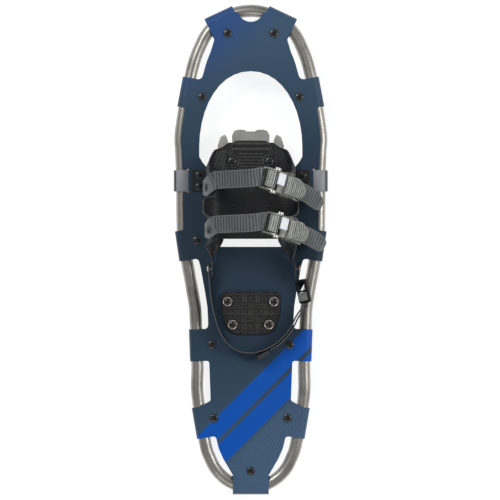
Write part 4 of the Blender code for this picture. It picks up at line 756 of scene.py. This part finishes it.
def sectionGuides(row):  # the four guide points of one cross-section's cubic curve
    _, x0, h0, bulge, rim, top, curl = row
    third = (bulge, (h0 + top) / 2)
    if curl:
        lean = 0.020 * curl
        third = (rim + lean * cos(harness["slope"]), top - lean * sin(harness["slope"]))
    return [x0, h0, x0 + 0.85 * (bulge - x0), h0, *third, rim, top]


def cubic(guides, t):  # points on cubic curves; guides is (rows, 8) and the result (rows, steps, 2)
    g = np.asarray(guides).reshape(-1, 4, 1, 2)
    t = t[None, :, None]
    return (g[:, 0] * (1 - t)**3 + g[:, 1] * 3 * t * (1 - t)**2
            + g[:, 2] * 3 * t * t * (1 - t) + g[:, 3] * t**3)


def makeHarness():
    # Cross-sections eased from one row to the next along y, the floor as straight columns inside them
    floorEnd = rearStrap["anchorY"] - 0.0115
    bm = bmesh.new()
    for side in (1, -1):
        rows = harnessRows(side)
        known = np.array([row[0] for row in rows])
        guides = np.array([sectionGuides(row) for row in rows])
        y = np.unique(np.concatenate([np.linspace(known[-1], known[0], harness["rows"]), known]))
        wing = cubic(eased(y, known[::-1], guides[::-1]), np.linspace(0.0, 1.0, harness["steps"] + 1))
        points = np.dstack([wing[..., 0] * side, np.broadcast_to(y[:, None], wing.shape[:2]),
                            floorTop + wing[..., 1]])
        share = np.linspace(0.0, 1.0, harness["floorSteps"], endpoint=False)
        floor = np.dstack([wing[:, :1, 0] * share * side, np.broadcast_to(y[:, None], (len(y), len(share))),
                           np.full((len(y), len(share)), floorTop)])
        grid = np.concatenate([floor, points], axis=1)
        keep = y >= floorEnd - 1e-6
        faces = gridFaces(*grid.shape[:2])
        low = faces // grid.shape[1]
        inFloor = (faces % grid.shape[1]).min(axis=1) < len(share)
        faces = faces[~inFloor | keep[low].all(axis=1)]
        if side > 0:
            faces = faces[:, ::-1]
        mesh = bpy.data.meshes.new("harnessHalf")
        mesh.from_pydata(grid.reshape(-1, 3).tolist(), [], faces.tolist())
        bm.from_mesh(mesh)
        bpy.data.meshes.remove(mesh)
    bmesh.ops.remove_doubles(bm, verts=bm.verts, dist=1e-6)
    bmesh.ops.delete(bm, geom=[v for v in bm.verts if not v.link_faces], context="VERTS")
    mesh = bpy.data.meshes.new("harnessShell")
    bm.to_mesh(mesh)
    bm.free()
    mesh.polygons.foreach_set("use_smooth", np.ones(len(mesh.polygons), bool))
    obj = linked("harnessShell", mesh)
    wall = obj.modifiers.new("Solidify", "SOLIDIFY")
    wall.thickness, wall.offset, wall.use_even_offset = harness["thickness"], -1.0, True
    return finishPiece(soften(obj, 0.0004, 2, radians(60)), "harness", "binding", ["harness"])


def wingPlace(strap, side, reach, lift):  # a point down from a wing's rim, lifted off its face, and its normal
    row = (0.0, harness["root"], 0.0, strap["bulge"], harness["rimX"], harness["rimHeight"], 1.0)
    curve = cubic([sectionGuides(row)], np.linspace(0.0, 1.0, 61))[0][::-1] + (0.0, floorTop)
    reaches = reachAlong(curve)
    k = int(np.clip(np.searchsorted(reaches, reach), 1, 59))
    down = unit(curve[k] - curve[k - 1])
    normal = np.array((-down[1], down[0]))
    place = curve[k - 1] + down * (reach - reaches[k - 1]) + normal * lift
    return Vector((place[0] * side, 0.0, place[1])), Vector((normal[0] * side, 0.0, normal[1]))


# Ladder straps

ladder = {
    "width": 0.0225, "thickness": 0.0025, "crown": 0.0790, "pitch": 0.0042, "rib": 0.0009, "rail": 0.0016,
    "rings": 620, "plain": 0.020, "floor": 0.0016, "guides": (-0.033, -0.026, -0.015, 0.0, 0.024, 0.032, 0.038),
}


def buckleFrame(strap):  # axes of a buckle on its wing: X towards the lever's end, Y across, Z off the boot
    slope, turn = harness["slope"], strap["turn"]
    normal = Vector((sin(slope), 0.0, cos(slope)))
    down = Vector((cos(slope), 0.0, -sin(slope)))
    along = down * cos(turn) - Vector((0.0, sin(turn), 0.0))
    rim = wingPlace(strap, 1, 0.0, harness["thickness"] + shoe["gap"])[0]
    drop = (strap["buckleX"] - rim.x) * sin(slope) / cos(slope)
    place = Vector((strap["buckleX"], strap["buckleY"], rim.z - drop))
    return Matrix.Translation(place) @ Matrix((along, normal.cross(along), normal)).transposed().to_4x4()


def ladderPath(strap):
    gap, anchor, place = shoe["gap"], strap["anchorReach"], buckleFrame(strap)
    lift = harness["thickness"] + 3 * gap + ladder["thickness"] / 2
    level = ladder["floor"] + 3 * gap + ladder["thickness"] / 2
    points = []
    for reach in (anchor + 0.0085, anchor, anchor / 2, 0.0, -0.008):
        spot = wingPlace(strap, -1, reach, lift)[0]
        forward = (anchor - min(max(reach, -0.002), anchor)) * strap["rise"]
        points.append((spot.x, strap["anchorY"] + forward, spot.z))
    points.append((0.0, strap["crownY"], shoe["deckTop"] + ladder["crown"]))
    points += [tuple(place @ Vector((u, 0.0, level))) for u in ladder["guides"]]
    tip = Vector(strap["tip"]) + Vector((0, 0, shoe["deckTop"]))
    last = Vector(points[-1])
    points += [tuple((last + tip) / 2 + Vector((0, 0.001, 0.0005))), tuple(tip)]
    return smoothPath(points, ladder["rings"])


def makeLadderStrap(strap):
    # A flat band whose upper face rises by a smooth step at each rib, between two plain side rails
    path = ladderPath(strap)
    along = np.gradient(path, axis=0)
    across = np.cross(along, np.stack([-along[:, 2], 0 * along[:, 0], along[:, 0]], axis=1))
    reach = reachAlong(path)
    total = reach[-1]
    nose = 0.5 * ladder["width"]
    toTip, toStart = (total - reach) / 0.017, reach / nose
    width = ladder["width"] * (0.42 + 0.58 * rounding(toTip)) * (0.70 + 0.30 * rounding(toStart))
    half, thick, rail = width / 2, ladder["thickness"] / 2, ladder["rail"]
    inner = half - rail
    shown = np.clip((reach - ladder["plain"]) / 0.002, 0, 1) * np.clip((total - 0.004 - reach) / 0.002, 0, 1)
    groove = -ladder["rib"] * shown * (1 - ridges(reach, ladder["pitch"]))
    edge, sunk = 0.0004, thick + groove
    upper = [(half, thick - edge), (half - edge, thick), (inner + 0.0003, thick), (inner, sunk),
             (inner * 0.5, sunk)]
    lower = [(half - edge, -thick), (half, edge - thick)]
    mirrored = [[(-aside, up) for aside, up in side[::-1]] for side in (upper, lower)]
    ring = [*upper, (0 * half, sunk), *mirrored[0], *mirrored[1], (0 * half, -thick), *lower]
    plain = np.zeros((len(path), 2))
    profile = np.stack([np.stack(np.broadcast_arrays(*spot), axis=-1) + plain for spot in ring], axis=1)
    name = strap["name"] + "LadderStrap"
    obj = bandSolid(name, path, across, profile, sharp=radians(50))
    return finishPiece(obj, "ladder", "binding", [strap["name"] + "_ladder_strap"])


# Ratchet buckles

buckle = {
    "inner": 0.0240, "cheek": 0.0018, "pin": 0.0016, "ribPitch": 0.0032,
    "leverPin": (0.0030, 0.0084), "releasePin": (-0.0160, 0.0084),
    "leverEnds": (0.0004, 0.0352), "releaseEnds": (-0.0310, -0.0134),
}


def leverHalf(u):  # straight sides to a rounded tip
    full, tip, start = buckle["inner"] / 2 - 0.0006, buckle["leverEnds"][1], 0.0160
    t = np.clip((u - start) / (tip - start), 0, 0.995)
    return full * (1 - t**2.6) ** 0.5 + 0.0004


def leverTop(u, v):  # a hump over the pin, then a shell of arc ribs that falls to the tip
    reach = np.hypot(u + 0.0040, v * 0.85)
    shell = np.clip((u - 0.0140) / 0.002, 0, 1)
    ribs = 0.0007 * (0.5 + 0.5 * np.cos(2 * pi * reach / buckle["ribPitch"])) * shell
    body = np.interp(u, [0.0004, 0.0040, 0.0085, 0.0140, 0.0200, 0.0310, 0.0352],
                     [0.0112, 0.0122, 0.0126, 0.0128, 0.0128, 0.0106, 0.0080])
    steps = 0.0007 * (np.cos(2 * pi * u / 0.0030) > 0.2) * (u < 0.0140) * (u > 0.0015) * (np.abs(v) < 0.0094)
    return body + ribs + steps - 0.9 * (v / 0.0124) ** 2 * 0.0016 * shell


def leverBottom(u, v):
    return np.interp(u, [0.0004, 0.0030, 0.0080, 0.0180, 0.0300, 0.0352],
                     [0.0071, 0.0060, 0.0064, 0.0074, 0.0062, 0.0062])


def releaseTop(u, v):  # a block whose upper face is cut into cross ridges
    body = np.interp(u, [-0.0310, -0.0296, -0.0270, -0.0180, -0.0134], [0.0096, 0.0116, 0.0124, 0.0124, 0.0110])
    shown = (np.abs(v) < 0.0108) * np.clip((u + 0.0308) / 0.0012, 0, 1)
    return body + 0.0011 * ridges(u + 0.0296, 0.0037, 2.5) * shown - 0.0006


def releaseBottom(u, v):
    return np.interp(u, [-0.0310, -0.0300, -0.0200, -0.0134], [0.0070, 0.0064, 0.0059, 0.0062])


def releaseHalf(u):
    return np.interp(u, [-0.0310, -0.0292, -0.0134], [0.0100, 0.0112, 0.0114])


def makeBuckle(strap):
    name, place = strap["name"], buckleFrame(strap)
    lever = reliefSolid(name + "BuckleLever", buckle["leverEnds"], leverHalf, leverTop, leverBottom, (210, 110),
                        place, 0.0007)
    finishPiece(lever, "lever", name + "_lever", [name + "_buckle_lever"])
    release = reliefSolid(name + "BuckleRelease", buckle["releaseEnds"], releaseHalf, releaseTop, releaseBottom,
                          (110, 40), place, 0.0007)
    finishPiece(release, "release", name + "_release", [name + "_buckle_release"])
    # A near-white block with no CAD part of its own: a painted highlight for the glint on the buckle's flat
    # shiny face
    block = reliefSolid(name + "BuckleBlock", (-0.0126, -0.0022), lambda u: 0 * u + 0.0075,
                        lambda u, v: 0.0142 + 0 * u, lambda u, v: 0.0112 + 0 * u, (24, 30),
                        place @ Matrix.Translation((0.0, 0.0036, 0.0)), 0.0009)
    finishPiece(block, "block", "binding")
    across = place.to_3x3() @ Vector((0, 1, 0))
    for side, end in ((-1, "Rear"), (1, "Front")):  # toothed ears by the lever, a curled clip by the pawl
        teeth = [(-0.0010 + 0.0124 * k / 24, 0.0106 + 0.0022 * (k % 4 in (1, 2)) + 0.0012 * sin(pi * k / 24))
                 for k in range(25)]
        outline = [(-0.0010, 0.0030)] + teeth + [(0.0136, 0.0060), (0.0136, 0.0030)]
        shift = Matrix.Translation((0.0, side * (buckle["inner"] / 2 + 0.0026), 0.0))
        ear = outlineSolid(f"{name}BuckleEar{end}", outline, 0.0016, place @ shift, 0.0003)
        finishPiece(ear, "buckle", "binding")
        a = np.linspace(0.0, 5.2, 40)
        curl = np.stack([-0.0150 + 0.0046 * np.cos(a) * (1 - a / 9), side * 0.0150 + 0 * a,
                         0.0092 + 0.0040 * np.sin(a) * (1 - a / 9)], axis=1)
        clip = bandSolid(f"{name}BuckleClip{end}", turned(curl, place), np.tile(across, (len(curl), 1)),
                         roundedRing(0.0036, 0.0009, 0.0003))
        finishPiece(clip, "steel", "binding")
    width = buckle["inner"] + 2 * buckle["cheek"] + 0.0012
    for part, (u, w) in (("lever_pin", buckle["leverPin"]), ("release_pin", buckle["releasePin"])):
        middle = place @ Vector((u, 0.0, w)) - across * width / 2
        radius = buckle["pin"]
        profile = [(0.0002, width), (radius * 0.7, width), (radius, width - 0.0004), (radius, 0.0004),
                   (radius * 0.7, 0.0), (0.0002, 0.0)]
        pin = turnedSolid(pieceName(f"{name}_{part}"), profile, middle, across, 24)
        finishPiece(pin, "steel", "binding", [f"{name}_{part}"])


def makeStrapRivets():
    for strap in (frontStrap, rearStrap):
        gap = shoe["gap"]
        place, axis = wingPlace(strap, -1, strap["anchorReach"], 0.0)
        lift = harness["thickness"] + ladder["thickness"] + 4 * gap
        place = place + Vector((0, strap["anchorY"], 0)) + axis * lift
        profile = rivetProfile(rivet["head"] * 0.9, rivet["height"], lift + 0.0006, 1.6)
        name = strap["name"]
        made = turnedSolid(name + "StrapRivet", profile, place, axis)
        finishPiece(made, "rivet", "binding", [name + "_strap_rivet"])
        dress(frame["nodes"][name + "_buckle_rivet"], "steel")


# Toe pad and heel pad

toePad = {"half": 0.0297, "rear": 0.0980, "front": 0.1405, "rivetX": 0.0240, "rivetY": 0.1135}


def toeHalf(y):
    pad = toePad
    return np.interp(y, [pad["rear"], pad["rear"] + 0.002, pad["front"] - 0.016, pad["front"] - 0.005,
                         pad["front"] - 0.0015, pad["front"]],
                     [pad["half"] - 0.0048, pad["half"] - 0.0030, pad["half"], pad["half"] - 0.0038,
                      pad["half"] - 0.0080, pad["half"] - 0.0125])


def toeTop(y, x):  # cross ridges in front, a panel of short bars, slanted side ribs and two ringed bosses
    pad, side = toePad, np.abs(x)
    height = np.zeros_like(y)
    for middle in (pad["front"] - 0.0042, pad["front"] - 0.0112):
        height = np.maximum(height, 0.0013 * np.exp(-(((y - middle) / 0.0017) ** 4)) * (side < 0.0245))
    panel = (side < 0.0155) & (y > 0.1005) & (y < 0.1255)
    bars = ridges(y - 0.1030, 0.0040) * (0.6 + 0.4 * (np.cos(2 * pi * x / 0.0062) > -0.6))
    height = np.maximum(height, 0.0008 * bars * panel)
    flank = (side > 0.0225) & (y > 0.1200)
    height = np.maximum(height, 0.0007 * ridges(side + 0.35 * y, 0.0036) * flank)
    ring = np.hypot(side - pad["rivetX"], y - pad["rivetY"])
    height = np.where(ring < 0.0094, 0.0, height)
    height = np.maximum(height, 0.0010 * np.exp(-(((ring - 0.0084) / 0.0009) ** 4)))
    return padTop - 0.0002 + height


heelPad = {"y": -0.0820, "length": 0.0545, "cell": 0.0088, "rivets": ((0.0300, -0.0671), (0.0235, -0.0968))}


def heelHalf(y):
    pad = heelPad
    front, rear = pad["y"] + pad["length"] / 2, pad["y"] - pad["length"] / 2
    return np.interp(y, [rear, rear + 0.0012, rear + 0.004, rear + 0.008, rear + 0.014,
                         front - 0.026, front - 0.007, front - 0.003, front],
                     [0.0150, 0.0225, 0.0275, 0.0310, 0.0332, 0.0375, 0.0385, 0.0372, 0.0325])


def heelTop(y, x):  # a maze of short lugs whose direction changes from cell to cell, crossed by one bar
    across, along = x / heelPad["cell"], (y - heelPad["y"]) / heelPad["cell"]
    cellX, cellY = np.floor(across + 0.5), np.floor(along + 0.5)
    turn = np.mod(cellX * 2 + cellY * 3, 4)
    run = np.select([turn == 0, turn == 1, turn == 2], [x, y, (x + y) * 0.7071], (x - y) * 0.7071)
    inCell = (np.abs(across - cellX) < 0.45) & (np.abs(along - cellY) < 0.45)
    edge = heelHalf(y[:, 0])[:, None] - np.abs(x)
    height = 0.0008 * ridges(run, 0.0034) * inCell * (edge > 0.0032)
    height = np.where(np.abs(y - heelPad["y"] + 0.0008) < 0.0009, 0.0009, height)
    for rx, ry in heelPad["rivets"]:
        ring = np.hypot(np.abs(x) - rx, y - ry)
        height = np.where(ring < 0.0076, 0.0, height)
    return shoe["deckTop"] + shoe["gap"] + 0.0030 + height


def makePads():
    rear, front = heelPad["y"] - heelPad["length"] / 2, heelPad["y"] + heelPad["length"] / 2
    for name, node, ends, halfOf, topOf, base, counts, crown, body in (
        ("toePad", "toe_pad", (toePad["rear"], toePad["front"]), toeHalf, toeTop, floorTop, (230, 190), 0.0010,
         "binding"),
        ("heelPad", "heel_pad", (rear, front), heelHalf, heelTop, shoe["deckTop"], (200, 230), 0.0009, "frame"),
    ):
        under = base + shoe["gap"]
        made = reliefSolid(name, ends, halfOf, topOf, lambda y, x: under + 0 * y, counts, turnYX, crown,
                           sharp=radians(60))
        finishPiece(made, name, body, [node])


turnYX = Matrix(((0, 1, 0, 0), (1, 0, 0, 0), (0, 0, 1, 0), (0, 0, 0, 1)))


# Heel strap

heelLoop = {
    "width": 0.0190, "thickness": 0.0016, "clearance": 0.0008, "layerStep": 0.0032, "end": 0.0075,
    "ringStart": (0.0640, -0.0385), "ringEnd": (0.0705, -0.0685), "tabLength": 0.0160, "roll": radians(52),
}
# The strap's way round the heel, from the left arm to the buckle
heelRoute = (
    (-0.0507, -0.0650), (-0.0442, -0.0935), (-0.0352, -0.1140), (-0.0220, -0.1270), (-0.0068, -0.1325),
    (0.0099, -0.1312), (0.0260, -0.1245), (0.0383, -0.1157), (0.0500, -0.1020), (0.0595, -0.0840),
)


def heelStrapPath():  # the inner layer to the buckle, the turn, and the outer layer back to the tab
    loop = heelLoop
    left = -(harness["armLeft"] + harness["thickness"] + shoe["gap"] + loop["thickness"] / 2)
    start, end = np.array(loop["ringStart"]), np.array(loop["ringEnd"])
    end = end + unit(end - start) * 0.0026
    heelY = harness["heelRivetY"]
    points = [(left, heelY + loop["end"]), (left, heelY), (left, heelY - 0.0110)]
    points += [*heelRoute, (end[0] - 0.0016, end[1])]
    inner = smoothPath(points, 580)
    tangent = unit(np.gradient(inner, axis=0))
    outside = np.stack([tangent[:, 1], -tangent[:, 0]], axis=1)
    outer = (inner + outside * loop["layerStep"])[::-1]
    middle, radius = (inner[-1] + outer[0]) / 2, loop["layerStep"] / 2
    turns = np.linspace(0, pi, 15)[1:-1, None]
    turn = middle - outside[-1] * radius * np.cos(turns) + tangent[-1] * radius * np.sin(turns)
    stop = int(np.argmax(outer[:, 0] < 0.0245))
    path = np.vstack([inner, turn, outer[:stop]])
    return path, outer[stop], outer[stop + 1] - outer[stop], outside[::-1][stop]


def makeHeelStrap():
    loop = heelLoop
    path, place, along, outside = heelStrapPath()
    middle = shoe["deckTop"] + loop["clearance"] + loop["width"] / 2
    path = np.column_stack([path, np.full(len(path), middle)])
    reach = reachAlong(path)
    share = 0.70 + 0.30 * np.clip(reach / 0.0056, 0, 1)
    ring = roundedRing(loop["width"], loop["thickness"], 0.00055, 2)
    profile = ring[None] * np.stack([share, np.ones(len(share))], axis=1)[:, None]
    obj = bandSolid("heelStrap", path, np.tile((0.0, 0.0, 1.0), (len(path), 1)), profile)
    finishPiece(obj, "webbing", "heel_loop", ["heel_strap"])
    along, out = Vector((*unit(along), 0.0)), Vector((*outside, 0.0))
    start = Vector((*place, middle)) + along * 0.0012
    half, length = loop["thickness"] / 2, loop["tabLength"]
    fold = [(0.0, -half), (length, -half + 0.0004), (length + 0.002, 0.0012), (length, 0.0050),
            (0.0010, 0.0046), (0.0, 0.0030)]
    matrix = Matrix.Translation(start) @ Matrix((along, along.cross(out), out)).transposed().to_4x4()
    tab = outlineSolid("heelStrapTab", fold, loop["width"] - 0.001, matrix, 0.0006)
    finishPiece(tab, "webbing", "heel_loop", ["heel_strap_tab"])
    for end, side in (("Left", -1), ("Right", 1)):
        node = "heel_rivet_" + end.lower()
        low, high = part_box(node)
        radius = (high.z - low.z) / 2
        outer = high.x if side > 0 else low.x
        place = (outer - side * rivet["height"], (low.y + high.y) / 2, (low.z + high.z) / 2)
        drop = abs(high.x - low.x) - rivet["height"] - rivet["foot"] - shoe["gap"]
        made = turnedSolid("heelRivet" + end, rivetProfile(radius, rivet["height"], drop), place, (side, 0, 0))
        finishPiece(made, "steel", "binding", [node])


# Pivot strap

pivot = {
    "y": 0.0887, "width": 0.0275, "thickness": 0.0022, "notch": 0.0082, "plateWidth": 0.0178,
    "plateInset": 0.0212, "innerHalf": 0.0470, "twistFrom": 0.0590, "twistTo": 0.0478,
}


def makePivotStraps():
    gap, thick = shoe["gap"], pivot["thickness"]
    centre = tubeAt(pivot["y"])
    level = shoe["strapTop"] - thick / 2
    radius = shoe["tubeRadius"] + 3 * gap + thick / 2
    loop = arc((centre, shoe["tubeHeight"]), radius, radians(118), radians(-152), 39)
    inner = pivot["innerHalf"] + gap
    run = [(x, level) for x in np.linspace(inner, centre - pivot["notch"], 40)]
    under = level - thick - gap
    inmost = centre - pivot["plateInset"] - pivot["plateWidth"] / 2
    back = [(x, under) for x in np.linspace(centre - radius * 1.3, inmost, 16)]
    flat = evenly(np.array(run + loop + back), 260)
    for name, side in (("Left", -1), ("Right", 1)):
        path = np.column_stack([flat[:, 0] * side, np.full(len(flat), pivot["y"]), flat[:, 1]])
        obj = bandSolid("pivotStrap" + name, path, np.tile((0.0, 1.0, 0.0), (len(path), 1)),
                        roundedRing(pivot["width"], thick, 0.0006, 2))
        dress(obj, "band")
        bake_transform(obj)
        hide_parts("pivot_strap_" + name.lower())


# Rigid pieces that keep the CAD shape, with eased edges

copies = (
    # CAD node, edge, finish, body, slot
    ("toe_crampon", 0.00045, "steel", "binding", "steel"),
    ("heel_crampon", 0.00035, "steel", "frame", "steel"),
    ("base_plate", 0.0004, "plastic", "binding", "black_plastic"),
    ("pivot_plate_left", 0.0005, "plastic", "frame", "black_plastic"),
    ("pivot_plate_right", 0.0005, "plastic", "frame", "black_plastic"),
    ("pivot_strap_centre", 0.0003, "band", "binding", "strap_grey"),
    ("front_buckle_base", 0.00035, "buckle", "binding", "buckle_clear"),
    ("rear_buckle_base", 0.00035, "buckle", "binding", "buckle_clear"),
    ("heel_buckle_frame", 0.0005, "plastic", "heel_loop", "black_plastic"),
    ("heel_buckle_cam", 0.0005, "cam", "heel_cam", "cam_grey"),
)


def makeCopies():
    for node, edge, look, body, slot in copies:
        finishPiece(fineCopy(pieceName(node), node, edge), look, body, [node])


# Everything, in order

makeStage()
finishes = makeFinishes()
print("stage and finishes ready")
makeTube()
makeDeck()
makeUprightRivets()
print("frame, deck and rivets ready")
makeHarness()
makePads()
for strap in (frontStrap, rearStrap):
    makeLadderStrap(strap)
    makeBuckle(strap)
makeStrapRivets()
print("binding ready")
makeHeelStrap()
makePivotStraps()
makeCopies()
print("heel strap, pivot and crampons ready")
